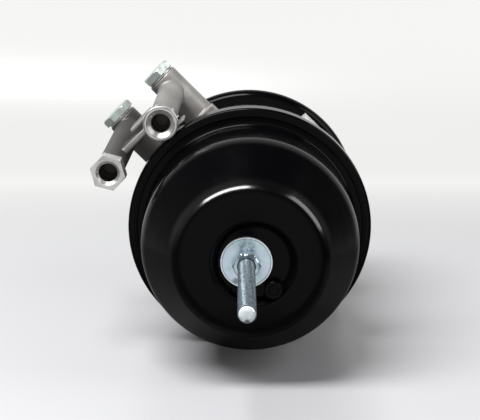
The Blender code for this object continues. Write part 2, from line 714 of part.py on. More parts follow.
def make_flange_case(cast):
    case = place("flange_case", spun(case_outline()), cast)
    port_a_y = SERVICE_PLANE - PORT_A_SETBACK
    port_b_y = SERVICE_PLANE - PORT_B_SETBACK
    arm_a = arm_ends(TUBE_A_E, ARM_A_DROP, PORT_A_E, PORT_A_T, port_a_y)
    arm_b = arm_ends(TUBE_B_E, ARM_B_DROP, PORT_B_E, PORT_B_T, port_b_y)
    block_front = TUBE_Y - TUBE_R - BLOCK_PROUD
    join(
        case,
        slab((BLOCK_E_LOW, BLOCK_E_HIGH), (BLOCK_ROOT_T, BLOCK_T), (block_front, block_front + BLOCK_DEPTH)),
        slab((PAD_ROOT_T, PAD_T), (-PAD_HALF_WIDTH, PAD_HALF_WIDTH), (block_front, block_front + PAD_DEPTH)),
        *(bar(manifold_point(e, TUBE_ROOT_T, TUBE_Y), manifold_point(e, TUBE_REACH, TUBE_Y), TUBE_R, 32)
          for e in (TUBE_A_E, TUBE_B_E)),
    )
    for (tube_end, port_end), port_e, port_t, port_y, collar in (
        (arm_a, PORT_A_E, PORT_A_T, port_a_y, PORT_A_COLLAR),
        (arm_b, PORT_B_E, PORT_B_T, port_b_y, 0),
    ):
        into = (port_end - tube_end).normalized()
        hexagon_start = manifold_point(port_e, port_t, port_y + collar)
        hexagon_end = manifold_point(port_e, port_t, port_y + PORT_HEX_LENGTH)
        join(
            case,
            bar(tube_end, port_end + into * ARM_INTO_PORT, ARM_R, 28),
            bar(hexagon_start, hexagon_end, hexagon_r(PORT_FLATS), 6, roll=PORT_ROLL),
        )
    collar_start = manifold_point(PORT_A_E, PORT_A_T, port_a_y)
    join(case, bar(collar_start, collar_start + AXIS * (PORT_A_COLLAR + PAST), PORT_A_COLLAR_R, 32))
    join(case, *rib_meshes(port_a_y))
    drill_passages(case, arm_a, arm_b, port_a_y, port_b_y)
    return case


def rib_meshes(port_a_y):
    """Three webs between the arms: two on port A's far side, one on its side towards the axis."""
    depth = (port_a_y + RIB_FRONT, port_a_y + RIB_FRONT + RIB_DEPTH)
    return (
        slab((PORT_A_E - UPPER_RIB_REACH, PORT_A_E), rib_rise(UPPER_RIB_RISE), depth),
        slab((TUBE_B_E - MIDDLE_RIB_PAST_TUBE, PORT_A_E), rib_rise(MIDDLE_RIB_RISE), depth),
        slab((PORT_A_E, TUBE_A_E - LOWER_RIB_SHORT_OF_TUBE), rib_rise(LOWER_RIB_RISE), depth),
    )


def rib_rise(rise):
    """A rib's two edges along the tubes, measured from port A's centre."""
    return PORT_A_T + rise[0], PORT_A_T + rise[1]


def drill_passages(case, arm_a, arm_b, port_a_y, port_b_y):
    """Threaded port bores, the drillings along arms and tubes, and their openings into the two bowls."""
    for tube_e, (tube_end, port_end), e, t, y, mouth_r, mouth in (
        (TUBE_A_E, arm_a, PORT_A_E, PORT_A_T, port_a_y, PORT_A_MOUTH_R, PORT_A_MOUTH_DEPTH),
        (TUBE_B_E, arm_b, PORT_B_E, PORT_B_T, port_b_y, PORT_B_MOUTH_R, PORT_B_MOUTH_DEPTH),
    ):
        face = manifold_point(e, t, y)
        flare = (mouth_r - PORT_BORE_R) / mouth
        bore_end = manifold_point(tube_e, TUBE_BORE_END, TUBE_Y)
        tube_top = manifold_point(tube_e, TUBE_REACH + FAR_PAST, TUBE_Y)
        plug_end = manifold_point(tube_e, TUBE_REACH - PLUG_SHANK - PAST, TUBE_Y)
        cut(
            case,
            bar(face - AXIS * FAR_PAST, face + AXIS * PORT_BORE_DEPTH, PORT_BORE_R),
            bar(face - AXIS * PAST, face + AXIS * (mouth + PAST), mouth_r + flare * PAST, 32,
                end_radius=PORT_BORE_R - flare * PAST),
            bar(port_end + (tube_end - port_end).normalized() * PAST, tube_end, PASSAGE_R, 16),
            bar(bore_end, tube_top, TUBE_BORE_R, 16),
            bar(plug_end, tube_top, PLUG_SHANK_R + GAP),
        )
    inlet_t = TUBE_BORE_END + PASSAGE_R
    for tube_e, end_y in ((TUBE_A_E, WEB_FRONT - INLET_A_SETBACK), (TUBE_B_E, WEB_BACK + INLET_B_SETBACK)):
        start, end = manifold_point(tube_e, inlet_t, TUBE_Y), manifold_point(tube_e, inlet_t, end_y)
        cut(case, bar(start, end, INLET_R, 16))


def make_tube_plugs(zinc, seal_metal):
    """A hexagon plug and its sealing washer at the end of each tube."""
    for side, tube_e in (("a", TUBE_A_E), ("b", TUBE_B_E)):
        end = manifold_point(tube_e, TUBE_REACH, TUBE_Y)
        seal_start = end + TUBE_AWAY * GAP
        seal_end = seal_start + TUBE_AWAY * PLUG_SEAL_THICK
        seal = place(f"plug_seal_{side}", bar(seal_start, seal_end, PLUG_SEAL_R), seal_metal)
        cut(seal, bar(seal_start - TUBE_AWAY * PAST, seal_end + TUBE_AWAY * PAST, PLUG_SHANK_R + GAP))
        head = seal_end + TUBE_AWAY * GAP
        top = head + TUBE_AWAY * PLUG_HEIGHT
        corner = hexagon_r(PLUG_FLATS)
        plug = place(f"tube_plug_{side}", bar(head, top, corner, 6, roll=PLUG_ROLLS[side]), zinc)
        shape_with(plug, bar(head - TUBE_AWAY * PLUG_HEIGHT, top + TUBE_AWAY * GAP, corner + PLUG_HEIGHT, 36,
                             end_radius=corner - PLUG_CHAMFER), "INTERSECT")
        join(plug, bar(end - TUBE_AWAY * (PLUG_SHANK - PAST), head + TUBE_AWAY * FAR_PAST, PLUG_SHANK_R))


def make_rod_guide(bronze, rubber):
    """Bush and seals that carry the transfer rod in the web of the case."""
    inner = ROD_R + ROD_RUN
    outer = inner + BUSH_WALL
    seal_width = 2 * SEAL_WIRE_R
    bush_front = WEB_FRONT + SEAL_LIP + seal_width + 2 * GAP
    bush_back = WEB_BACK - SEAL_LIP - seal_width - 2 * GAP
    bush = rounded([
        (inner, bush_front, 0), (outer, bush_front, EDGE_ROUND),
        (outer, bush_back, EDGE_ROUND), (inner, bush_back, 0),
    ])
    place("rod_bush", spun(bush, INNER_STEPS), bronze)
    middle_r = (inner + outer) / 2
    reach = GAP + SEAL_WIRE_R
    for name, y in (("rod_seal_front", bush_front - reach), ("rod_seal_rear", bush_back + reach)):
        outline = []
        for index in range(SEAL_SIDES):
            angle = 2 * math.pi * (index + 0.5) / SEAL_SIDES
            outline.append((middle_r + BUSH_WALL / 2 * math.cos(angle), y + SEAL_WIRE_R * math.sin(angle)))
        place(name, spun(outline, 32), rubber)


def make_clamp(black, zinc):
    """V-section clamp ring, split at its lower side, with its ears, bolt and nut."""
    inner = SERVICE_FLANGE_R + GAP
    half = RING_HALF_WIDTH
    lip = half + RING_LIP_REACH
    slot_angle = math.degrees(RING_SLOT / RING_R)
    mid = SERVICE_PLANE
    ring = rounded([
        (RING_LIP_R, mid - lip - RING_LIP_THICK, RING_LIP_ROUND),
        (RING_R, mid - half, RING_ROUND),
        (RING_R, mid + half, RING_ROUND),
        (RING_LIP_R, mid + lip + RING_LIP_THICK, RING_LIP_ROUND),
        (RING_LIP_R, mid + lip, 0),
        (inner, mid + half - RING_SEAT_RELIEF, 0),
        (inner, mid - half + RING_SEAT_RELIEF, 0),
        (RING_LIP_R, mid - lip, 0),
    ])
    begin = RING_JOINT_ANGLE + slot_angle / 2
    clamp = place("clamp_ring", spun(ring, ROUND_STEPS, sweep=360 - slot_angle, begin=begin), black)
    angle = math.radians(RING_JOINT_ANGLE)
    outward = Vector((math.cos(angle), 0, math.sin(angle)))
    beside = Vector((-outward.z, 0, outward.x))
    ear_low = RING_R - RING_SHEET + GAP
    ear_high = RING_R + EAR_REACH
    hole_r = RING_R + EAR_HOLE_RISE
    centre = AXIS * mid
    for sign in (-1, 1):
        middle = beside * sign * (RING_SLOT + EAR_THICK) / 2
        join(clamp, block(centre + outward * (ear_low + ear_high) / 2 + middle,
                          (ear_high - ear_low, EAR_WIDTH, EAR_THICK), across=outward))
    bolt_half = RING_SLOT / 2 + EAR_THICK
    through = centre + outward * hole_r
    beyond = beside * (bolt_half + FAR_PAST)
    cut(clamp, bar(through - beyond, through + beyond, CLAMP_BOLT_R + GAP))
    head_r = hexagon_r(CLAMP_FLATS)
    head_start = through - beside * (bolt_half + GAP)
    bolt = place("clamp_bolt", bar(head_start - beside * CLAMP_BOLT_HEAD, head_start, head_r, 6), zinc)
    shank_end = through + beside * (bolt_half + GAP + CLAMP_NUT_HEIGHT + CLAMP_BOLT_END)
    join(bolt, bar(head_start - beside * FAR_PAST, shank_end, CLAMP_BOLT_R))
    nut_start = through + beside * (bolt_half + GAP)
    nut_end = nut_start + beside * CLAMP_NUT_HEIGHT
    nut = place("clamp_nut", bar(nut_start, nut_end, head_r, 6), zinc)
    cut(nut, bar(nut_start - beside * PAST, nut_end + beside * PAST, CLAMP_BOLT_R + GAP))


def make_service_housing(black):
    """Pressed housing of the service side, with the flat mounting face."""
    flange_front = SERVICE_PLANE + RUBBER / 2 + GAP
    flange_back = flange_front + SERVICE_FLANGE
    lip_r = RING_LIP_R - GAP
    wall_in = SERVICE_WALL_R - SERVICE_SHEET
    face_r = SERVICE_FACE_R + SERVICE_FACE_ROUND / 2
    face_in = face_r - SERVICE_SHEET * math.tan(math.radians(30))
    outline = rounded([
        (SERVICE_OPENING_R, 0, 0),
        (face_r, 0, SERVICE_FACE_ROUND),
        (SERVICE_WALL_R, -SERVICE_TAPER, SERVICE_TAPER_ROUND),
        (SERVICE_WALL_R, flange_back + RING_LIP_REACH + SERVICE_LIP_RISE, 0),
        (lip_r, flange_back + RING_LIP_REACH, 0),
        (SERVICE_FLANGE_R, flange_back, 0),
        (SERVICE_FLANGE_R, flange_front, EDGE_ROUND),
        (wall_in, flange_front, BEND_ROUND),
        (wall_in, -SERVICE_TAPER, SERVICE_TAPER_ROUND),
        (face_in, HOUSING_FLOOR, SERVICE_FACE_ROUND - SERVICE_SHEET),
        (SERVICE_OPENING_R, HOUSING_FLOOR, 0),
    ])
    housing = place("service_housing", spun(outline, begin=180 / ROUND_STEPS), black)
    holes = []
    for sign in (-1, 1):
        spot = Vector((sign * STUD_SPACING / 2, 0, 0))
        holes.append(bar(spot + AXIS * (HOUSING_FLOOR - FAR_PAST), spot + AXIS * FAR_PAST, STUD_R + GAP))
    drain = drain_spot()
    holes.append(bar(drain + AXIS * (HOUSING_FLOOR - FAR_PAST), drain + AXIS * FAR_PAST, DRAIN_PLUG_R + GAP))
    cut(housing, *holes)


def drain_spot():
    return Vector((0, 0, -DRAIN_PLUG_PLACE_R))


def make_mounting_studs(zinc):
    """Two welded-in studs; their heads lie against the inside of the mounting face."""
    head_back = HOUSING_FLOOR - GAP
    head_front = head_back - STUD_HEAD
    stud = rounded([
        (0, head_front, 0), (STUD_HEAD_R, head_front, 0), (STUD_HEAD_R, head_back, 0), (STUD_R, head_back, 0),
        (STUD_R, STUD_OUT - STUD_CHAMFER, 0), (STUD_R - STUD_CHAMFER, STUD_OUT, 0), (0, STUD_OUT, 0),
    ])
    for side, sign in (("left", -1), ("right", 1)):
        place(f"mounting_stud_{side}", spun(stud, SMALL_STEPS, centre=(sign * STUD_SPACING / 2, 0)), zinc)


def make_drain_plug(rubber):
    drain = drain_spot()
    inside = HOUSING_FLOOR - GAP
    plug = rounded([
        (0, inside - DRAIN_PLUG_HEAD, 0), (DRAIN_PLUG_HEAD_R, inside - DRAIN_PLUG_HEAD, EDGE_ROUND),
        (DRAIN_PLUG_HEAD_R, inside, 0), (DRAIN_PLUG_R, inside, 0), (DRAIN_PLUG_R, -GAP, 0), (0, -GAP, 0),
    ])
    place("drain_plug", spun(plug, SMALL_STEPS, centre=(drain.x, drain.z)), rubber)


def make_service_diaphragm(rubber):
    """Rubber cup between the case and the push plate, clamped by the ring."""
    front = SERVICE_RUBBER_FRONT
    slack_r = PUSH_PLATE_R + PUSH_PLATE_RIM - BEND_ROUND
    wall = SERVICE_BOWL_R - SERVICE_CUP_PLAY
    bend_r = wall - BEND_ROUND
    bend_y = front + SERVICE_CUP_DEPTH
    edge = SERVICE_FLANGE_R
    flange_front = SERVICE_PLANE - RUBBER / 2
    flange_back = SERVICE_PLANE + RUBBER / 2
    outline = rounded([
        (0, front, 0), (slack_r, front, 2 * BEND_ROUND), (bend_r, bend_y, 2 * BEND_ROUND),
        (wall, flange_front, BEND_ROUND), (edge, flange_front, 0), (edge, flange_back, 0),
        (wall - RUBBER, flange_back, BEND_ROUND), (bend_r - RUBBER, bend_y + RUBBER, BEND_ROUND),
        (slack_r - RUBBER, front + RUBBER, BEND_ROUND), (0, front + RUBBER, 0),
    ])
    place("service_diaphragm", spun(outline, INNER_STEPS), rubber)


def make_push_rod(steel, spring_black, rubber, push):
    """Push plate, push rod, return spring and the boot that closes the housing's opening."""
    bore = PUSH_ROD_R + GAP
    rim_y = PUSH_FRONT + PUSH_PLATE_RIM
    plate = rounded([
        (bore, PUSH_FRONT, 0), (PUSH_PLATE_R, PUSH_FRONT, CAST_ROUND),
        (PUSH_PLATE_R + PUSH_PLATE_FLARE, rim_y, CORNER_ROUND),
        (PUSH_PLATE_R - CORNER_ROUND, rim_y + CORNER_ROUND, CORNER_ROUND),
        (PUSH_PLATE_R - PUSH_PLATE_THICK, PUSH_BACK, CORNER_ROUND), (bore, PUSH_BACK, 0),
    ])
    place("push_plate", spun(plate, INNER_STEPS), steel, parent=push)
    groove_y = BOOT_GROOVE_Y
    groove_r = PUSH_ROD_R - BOOT_GROOVE
    groove_half = BOOT_WALL
    rod = rounded([
        (0, PUSH_FRONT, 0), (PUSH_ROD_R, PUSH_FRONT, 0), (PUSH_ROD_R, groove_y - groove_half, 0),
        (groove_r, groove_y - groove_half, 0), (groove_r, groove_y + groove_half, 0),
        (PUSH_ROD_R, groove_y + groove_half, 0), (PUSH_ROD_R, PUSH_ROD_OUT, PUSH_NOSE_R),
        (0, PUSH_ROD_OUT, 0),
    ])
    place("push_rod", spun(rod, INNER_STEPS), steel, parent=push)
    mesh = coil(RETURN_WIRE_R, RETURN_LARGE_R, RETURN_SMALL_R, PUSH_BACK + GAP + RETURN_WIRE_R,
                HOUSING_FLOOR - GAP - RETURN_WIRE_R, RETURN_TURNS)
    place("service_return_spring", mesh, spring_black)
    opening = SERVICE_OPENING_R - GAP
    bead_r = opening + BOOT_BEAD
    bead_y = HOUSING_FLOOR - GAP - BOOT_WALL
    fold = HOUSING_FLOOR - BOOT_FOLD
    middle = (opening + PUSH_ROD_R) / 2
    seat = groove_r + GAP
    boot = rounded([
        (bead_r, HOUSING_FLOOR - GAP, 0), (bead_r, bead_y, 0), (opening - BOOT_WALL, bead_y, 0),
        (middle + BOOT_WALL, fold, BEND_ROUND), (middle - BOOT_WALL, fold, BEND_ROUND),
        (seat + BOOT_SKIRT, groove_y - groove_half + GAP, 0), (seat, groove_y - groove_half + GAP, 0),
        (seat, groove_y + groove_half - GAP, 0),
        (seat + BOOT_COLLAR, groove_y + groove_half - GAP, CORNER_ROUND),
        (middle, fold + BOOT_FOLD_RISE, CORNER_ROUND),
        (opening - BOOT_LIP, -GAP, 0), (opening, -GAP, 0), (opening, HOUSING_FLOOR - GAP, 0),
    ])
    place("rod_boot", spun(boot, INNER_STEPS), rubber)


def build():
    start_clean()
    black = paint("black_paint", (0.006, 0.006, 0.006), 0.22, 0.0)
    cast = paint("cast_aluminium", (0.42, 0.40, 0.38), 0.48, 0.85)
    zinc = paint("bright_zinc", (0.62, 0.66, 0.69), 0.32, 1.0)
    dark_zinc = paint("dull_zinc", (0.50, 0.54, 0.57), 0.38, 1.0)
    steel = paint("bare_steel", (0.45, 0.45, 0.46), 0.42, 1.0)
    spring_black = paint("spring_steel", (0.03, 0.03, 0.03), 0.45, 0.6)
    bronze = paint("bush_bronze", (0.55, 0.38, 0.18), 0.40, 1.0)
    seal_metal = paint("seal_aluminium", (0.70, 0.70, 0.70), 0.35, 1.0)
    rubber = paint("black_rubber", (0.02, 0.02, 0.02), 0.75, 0.0)

    piston = pivot("spring_stroke_axis")
    push = pivot("service_stroke_axis")
    nut_pivot = pivot("release_nut_axis", (BOLT_OFFSET, RECESS_FLOOR, 0))

    make_spring_housing(black)
    make_vent_plug(black)
    make_release_set(zinc, dark_zinc, piston, nut_pivot)
    make_spring_piston(steel, piston)
    make_power_spring(spring_black)
    make_spring_diaphragm(rubber)
    make_transfer_rod(steel, spring_black, piston)
    make_flange_case(cast)
    make_tube_plugs(zinc, seal_metal)
    make_rod_guide(bronze, rubber)
    make_clamp(black, zinc)
    make_service_housing(black)
    make_mounting_studs(zinc)
    make_drain_plug(rubber)
    make_service_diaphragm(rubber)
    make_push_rod(steel, spring_black, rubber, push)


build()
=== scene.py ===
# %% [markdown]
# # Spring brake cylinder
# A truck's spring brake cylinder seen from its spring end: a black pressed dome, a cast body with two hose
# ports on angled arms, and a long release bolt. This script loads the solid model as a fixed frame and
# dresses it, piece by piece, with finer shapes and finishes made of shader nodes.

# %% Load the frame
import math

import bmesh
import bpy
import numpy as np
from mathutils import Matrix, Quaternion, Vector


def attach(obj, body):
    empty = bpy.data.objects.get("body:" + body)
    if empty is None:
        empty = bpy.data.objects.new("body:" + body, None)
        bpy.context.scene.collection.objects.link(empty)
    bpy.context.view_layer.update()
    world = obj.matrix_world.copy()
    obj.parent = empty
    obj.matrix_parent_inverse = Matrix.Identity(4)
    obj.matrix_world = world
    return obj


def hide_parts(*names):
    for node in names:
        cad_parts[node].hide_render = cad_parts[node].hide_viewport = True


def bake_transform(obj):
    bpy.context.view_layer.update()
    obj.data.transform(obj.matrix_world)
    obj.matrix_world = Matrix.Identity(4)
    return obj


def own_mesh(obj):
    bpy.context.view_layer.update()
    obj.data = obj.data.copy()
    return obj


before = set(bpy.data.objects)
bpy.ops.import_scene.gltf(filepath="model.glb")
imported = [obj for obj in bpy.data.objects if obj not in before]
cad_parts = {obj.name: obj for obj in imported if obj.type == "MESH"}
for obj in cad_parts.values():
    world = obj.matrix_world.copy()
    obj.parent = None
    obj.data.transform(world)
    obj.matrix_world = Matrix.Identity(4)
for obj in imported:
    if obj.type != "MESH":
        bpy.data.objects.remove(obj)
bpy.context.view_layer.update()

# %% [markdown]
# ## Planes and directions
# Everything is in metres in the model's own frame: +Y runs along the cylinder towards the vehicle and +Z is
# up. The numbers are the ones the solid model was built with. Kept together, they place each piece by name.

# %% Planes and directions
AXIS = np.array((0.0, 1.0, 0.0))
END_FACE, RECESS_FLOOR, SPRING_PLANE, SERVICE_PLANE = -0.2715, -0.2642, -0.1695, -0.060
WEB_FRONT, WEB_BACK, TUBE_Y = -0.1155, -0.0855, -0.1025
BOLT_X = -0.0029
WASHER_FRONT, NUT_FRONT, BOLT_TIP = -0.2675, -0.2778, -0.3812
AWAY = np.array((-math.sqrt(0.5), 0.0, math.sqrt(0.5)))
ACROSS = np.array((math.sqrt(0.5), 0.0, math.sqrt(0.5)))
GAP = 0.0003


def manifold_point(across, along, y):
    """A point given across and along the two tubes, at a place on the axis."""
    return ACROSS * across + AWAY * along + AXIS * y


PORT_A = manifold_point(0.0109, 0.1069, -0.1795)
PORT_B = manifold_point(-0.0399, 0.1106, -0.2015)
RIB_FRONT = -0.1725
print("port A", PORT_A.round(4), "port B", PORT_B.round(4))

# %% [markdown]
# ## Shader maths as sums
# A finish is a net of nodes, and sums written as nodes are hard to read. One small class wraps a socket:
# adding or multiplying two of them adds the Math node. Every other node comes from one method, which takes
# the node's type, its settings and what goes into its sockets.


# %% Shader maths as sums
class Wire:
    """One output of a node, so that shader maths reads as ordinary sums."""

    def __init__(self, tree, socket=None):
        self.tree, self.socket = tree, socket

    def node(self, kind, settings=None, links=None, out=0):
        made = self.tree.nodes.new(kind)
        for name, value in (settings or {}).items():
            setattr(made, name, value)
        for name, value in (links or {}).items():
            if isinstance(value, Wire):
                self.tree.links.new(value.socket, made.inputs[name])
            else:
                made.inputs[name].default_value = value
        return Wire(self.tree, made.outputs[out])

    def maths(self, operation, other=0.0, swapped=False):
        pair = (other, self) if swapped else (self, other)
        return self.node("ShaderNodeMath", {"operation": operation}, dict(enumerate(pair)))

    def __add__(self, other):
        return self.maths("ADD", other)

    def __sub__(self, other):
        return self.maths("SUBTRACT", other)

    def __rsub__(self, other):
        return self.maths("SUBTRACT", other, True)

    def __mul__(self, other):
        return self.maths("MULTIPLY", other)

    __radd__ = __add__
    __rmul__ = __mul__

    def step(self, low, high):
        """0 below low, 1 above high, and a soft turn between."""
        return self.node("ShaderNodeMapRange", {"interpolation_type": "SMOOTHSTEP"},
                         {"Value": self, "From Min": low, "From Max": high})

    def capped(self):
        """The value, but never more than 1."""
        return self.maths("MINIMUM", 1.0)

    def part(self, index):
        """One part of a vector: 0 for x, 1 for y and 2 for z."""
        return self.node("ShaderNodeSeparateXYZ", None, {0: self}, out=index)


class Finish(Wire):
    """A material under way: its shader, and the place on the piece that wears it."""

    def __init__(self, name, slot, constants):
        self.material = bpy.data.materials.new(name)
        self.material.use_nodes = True
        self.material["slot"] = slot
        super().__init__(self.material.node_tree)
        self.shader = self.tree.nodes["Principled BSDF"]
        for socket, value in constants.items():
            self.shader.inputs[socket].default_value = value
        self.spot = self.node("ShaderNodeTexCoord", out="Object")
        print("finish:", name)

    def noise(self, scale, detail=3.0, stretch=(1.0, 1.0, 1.0)):
        spot = self.node("ShaderNodeMapping", None, {"Vector": self.spot, "Scale": stretch})
        return self.node("ShaderNodeTexNoise", None, {"Vector": spot, "Scale": scale, "Detail": detail})

    def mix(self, mask, *pair):
        """The first colour of the pair where the mask is 0, and the second where it is 1."""
        first, second = ((*color, 1.0) if isinstance(color, tuple) else color for color in pair)
        return self.node("ShaderNodeMix", {"data_type": "RGBA"}, {0: mask, 6: first, 7: second}, out=2)

    def radius_about(self, point):
        """Distance from the line through a point along the axis."""
        offset = self.node("ShaderNodeVectorMath", {"operation": "SUBTRACT"}, {0: self.spot, 1: tuple(point)})
        arm = self.node("ShaderNodeVectorMath", {"operation": "CROSS_PRODUCT"}, {0: offset, 1: tuple(AXIS)})
        return self.node("ShaderNodeVectorMath", {"operation": "LENGTH"}, {0: arm}, out="Value")

    def drive(self, **wires):
        for socket, wire in wires.items():
            self.tree.links.new(wire.socket, self.shader.inputs[socket.replace("_", " ")])

    def bump(self, height, distance, strength=1.0):
        normal = self.node("ShaderNodeBump", None,
                           {"Height": height, "Distance": distance, "Strength": strength})
        self.drive(Normal=normal)


def darker(color, share):
    return tuple(part * share for part in color)


print("shader helpers ready")

# %% [markdown]
# ## Black coating
# The pressed housings wear a thick gloss black coating. What shows is its gloss, so the colour stays almost
# black and roughness changes a little over the surface. A very shallow wave in the bump bends the
# reflections as sprayed paint on rolled steel does, and specks of dust lie in it. A clear coat on the top
# half of the end's rounded corner is a painted highlight: it makes the lamps show there as bright
# crescents.

# %% Black coating
COATING, DUST = (0.0011, 0.0011, 0.0014), (0.006, 0.006, 0.007)
ROUND_BEGINS, ROUND_ENDS = (0.0525, 0.0545), (0.0575, 0.0610)
black = Finish("gloss_black_coating", "black_paint",
               {"Specular IOR Level": 0.07, "IOR": 1.5, "Coat Roughness": 0.16})
cloud = black.noise(28.0, 4.0)
from_axis = black.radius_about((0, 0, 0))
spring_end = 1 - black.spot.part(1).step(END_FACE + 0.010, END_FACE + 0.020)
upper_side = black.spot.part(2).step(0.005, 0.030)
# painted highlight: clear coat only on the top half of the end's rounded corner, so the lamps show there
painted_highlight_round = (from_axis.step(*ROUND_BEGINS) - from_axis.step(*ROUND_ENDS)) * upper_side * spring_end
speck = black.noise(900.0, 1.0).step(0.74, 0.80)
black.drive(
    Base_Color=black.mix(speck, COATING, DUST),
    Roughness=0.15 + 0.08 * cloud.step(0.35, 0.75) + 0.10 * speck,
    Coat_Weight=painted_highlight_round,
)
black.bump(black.noise(110.0, 2.0) * 0.8 + speck * 0.2, 0.00012, 0.5)

# %% [markdown]
# ## Cast aluminium
# The body comes out of a die and is blasted, so it is grey and fine grained. The grain is under half a
# millimetre, and a broader cloud keeps the large tubes from looking like plastic. Painted shade darkens
# the left below the tubes and the inside of the bores, and the ribs' front faces are left out of it.

# %% Cast aluminium
CAST_DARK, CAST_LIGHT, CAST_SHADE = (0.215, 0.206, 0.198), (0.315, 0.305, 0.295), (0.040, 0.037, 0.034)
cast = Finish("blasted_casting", "cast_aluminium", {"Metallic": 0.62})
grain = cast.noise(1700.0, 4.0)
patch = cast.noise(45.0, 5.0)
cast_x, cast_y, cast_z = (cast.spot.part(index) for index in range(3))
# painted shade: darker at the left and low on the body, below the tubes
painted_cast_shade = (0.0 - cast_x).step(0.045, 0.080) * (1 - cast_z.step(0.070, 0.108)) * 0.9
arm_at_ribs = manifold_point(-0.0364, 0.1117, RIB_FRONT)
# the ribs' front faces are left out of the painted shade
rib_fronts = cast.radius_about(arm_at_ribs).step(0.0110, 0.0118) * cast_y.step(RIB_FRONT - 0.001, RIB_FRONT)
rib_fronts = rib_fronts * (1 - cast_y.step(RIB_FRONT + 0.0006, RIB_FRONT + 0.0016))
painted_cast_shade = painted_cast_shade * (1 - rib_fronts)
# painted shade inside each port bore
for port in (PORT_A, PORT_B):
    shaded_bores = 1 - cast.radius_about(port).step(0.0084, 0.0087)
    shaded_bores = shaded_bores * cast_y.step(port[1] + 0.003, port[1] + 0.006)
    shaded_bores = shaded_bores * (1 - cast_y.step(port[1] + 0.0210, port[1] + 0.0216))
    painted_cast_shade = (painted_cast_shade + shaded_bores).capped()
blasted = cast.mix(patch.step(0.30, 0.72), CAST_DARK, CAST_LIGHT)
cast.drive(Base_Color=cast.mix(painted_cast_shade, blasted, CAST_SHADE), Roughness=0.43 + 0.16 * grain)
cast.bump(grain * 0.7 + cast.noise(420.0, 3.0) * 0.3, 0.00016, 0.55)

# %% [markdown]
# ## Turned faces
# Port mouths are cut on a lathe after casting. The tool leaves fine rings about the port's own axis, so the
# finish measures its distance from that axis and turns it into a ripple. Wider dark rings show on one port
# more than on the other, so their strength is a setting. Inside the bore the colour turns dark.


# %% Turned faces
FINE_RING, WIDE_RING, BORE_SHADE = 0.00042, 0.0021, (0.03, 0.028, 0.026)


def turned_finish(name, centre, color, ring_strength):
    made = Finish(name, "cast_aluminium", {"Metallic": 0.88, "Base Color": (*color, 1.0)})
    radius = made.radius_about(centre)
    ripple = (radius * (2 * math.pi / FINE_RING) + made.noise(300.0, 2.0) * 1.5).maths("SINE")
    stain = made.noise(160.0, 4.0)
    depth = made.spot.part(1).step(centre[1] + 0.0022, centre[1] + 0.0060)
    inside = depth * (1 - radius.step(0.0076, 0.0080))
    rings = (radius * (2 * math.pi / WIDE_RING) + stain * 2.0).maths("SINE").step(0.10, 0.95)
    rings = rings * radius.step(0.0090, 0.0096)
    stained = made.mix(stain.step(0.42, 0.75), color, darker(color, 0.72))
    tone = made.mix(rings * ring_strength, stained, darker(color, 0.30))
    made.drive(Base_Color=made.mix(inside, tone, BORE_SHADE), Roughness=0.24 + 0.14 * stain + 0.3 * inside)
    made.bump(ripple, 0.00003, 0.6)
    return made


turned_a = turned_finish("turned_port_a", PORT_A, (0.68, 0.67, 0.66), 0.85)
turned_b = turned_finish("turned_port_b", PORT_B, (0.68, 0.67, 0.65), 0.10)

# %% [markdown]
# ## Zinc plating
# Bolt, nut and washer are zinc plated and passivated, which gives a cold blue-white metal. On threads one
# version paints the roots darker below a given radius, as painted shade with some dirt. The plugs' plating
# is older and greyer, with a green cast and soft blotches.


# %% Zinc plating
def zinc_finish(name, slot, color, dark, metallic=0.8, rough=0.26, thread=None, tint=None, mottle=240.0):
    made = Finish(name, slot, {"Metallic": metallic})
    blotch = made.noise(mottle, 5.0).step(0.36, 0.74)
    tone = made.mix(blotch, color, dark)
    if tint:
        tone = made.mix(made.noise(75.0, 2.0).step(0.46, 0.66), tone, tint)
    # painted shade with some dirt: thread roots darker below the root radius
    if thread:
        point, root, crest = thread
        tone = made.mix(made.radius_about(point).step(root, crest), darker(dark, 0.42), tone)
    made.tone = tone
    made.drive(Base_Color=tone, Roughness=rough + 0.14 * blotch)
    made.bump(made.noise(2200.0, 3.0), 0.00005, 0.35)
    return made


LAVENDER = (0.57, 0.66, 0.76)
washer_zinc = zinc_finish("washer_zinc", "bright_zinc", (0.56, 0.72, 0.76), (0.42, 0.56, 0.63), 0.35, 0.16,
                          tint=LAVENDER)
nut_zinc = zinc_finish("nut_zinc", "dull_zinc", (0.46, 0.56, 0.61), (0.33, 0.42, 0.47), 0.9, 0.10)
bolt_zinc = zinc_finish("bolt_zinc", "bright_zinc", (0.18, 0.22, 0.245), (0.05, 0.07, 0.085), 0.80, 0.46,
                        ((BOLT_X, 0, 0), 0.0051, 0.0058), mottle=520.0)
end_zinc = zinc_finish("bolt_end_zinc", "bright_zinc", (0.80, 0.86, 0.88), (0.62, 0.69, 0.72), 0.30, 0.22)
plug_zinc = zinc_finish("plug_zinc", "bright_zinc", (0.41, 0.45, 0.43), (0.27, 0.31, 0.29), 0.45, 0.26)
stud_zinc = zinc_finish("stud_zinc", "bright_zinc", (0.56, 0.60, 0.62), (0.44, 0.48, 0.50), 0.85, 0.28)

# %% [markdown]
# ## Marks on the washer and the bolt's end
# Some marks belong to one place, so each is a mask made from the distance to a line. The washer has a
# painted highlight round its rim, painted shade in its groove, a painted dark reflection of the nut above
# it and painted shade beside the bolt at its lower left. The bolt's end has painted shade below its middle.


# %% Marks on the washer and the bolt's end
def mark(finish, x, z, full, gone):
    """1 within the radius full about a point of the end faces, and 0 beyond the radius gone."""
    return 1 - finish.radius_about((x, 0, z)).step(full, gone)


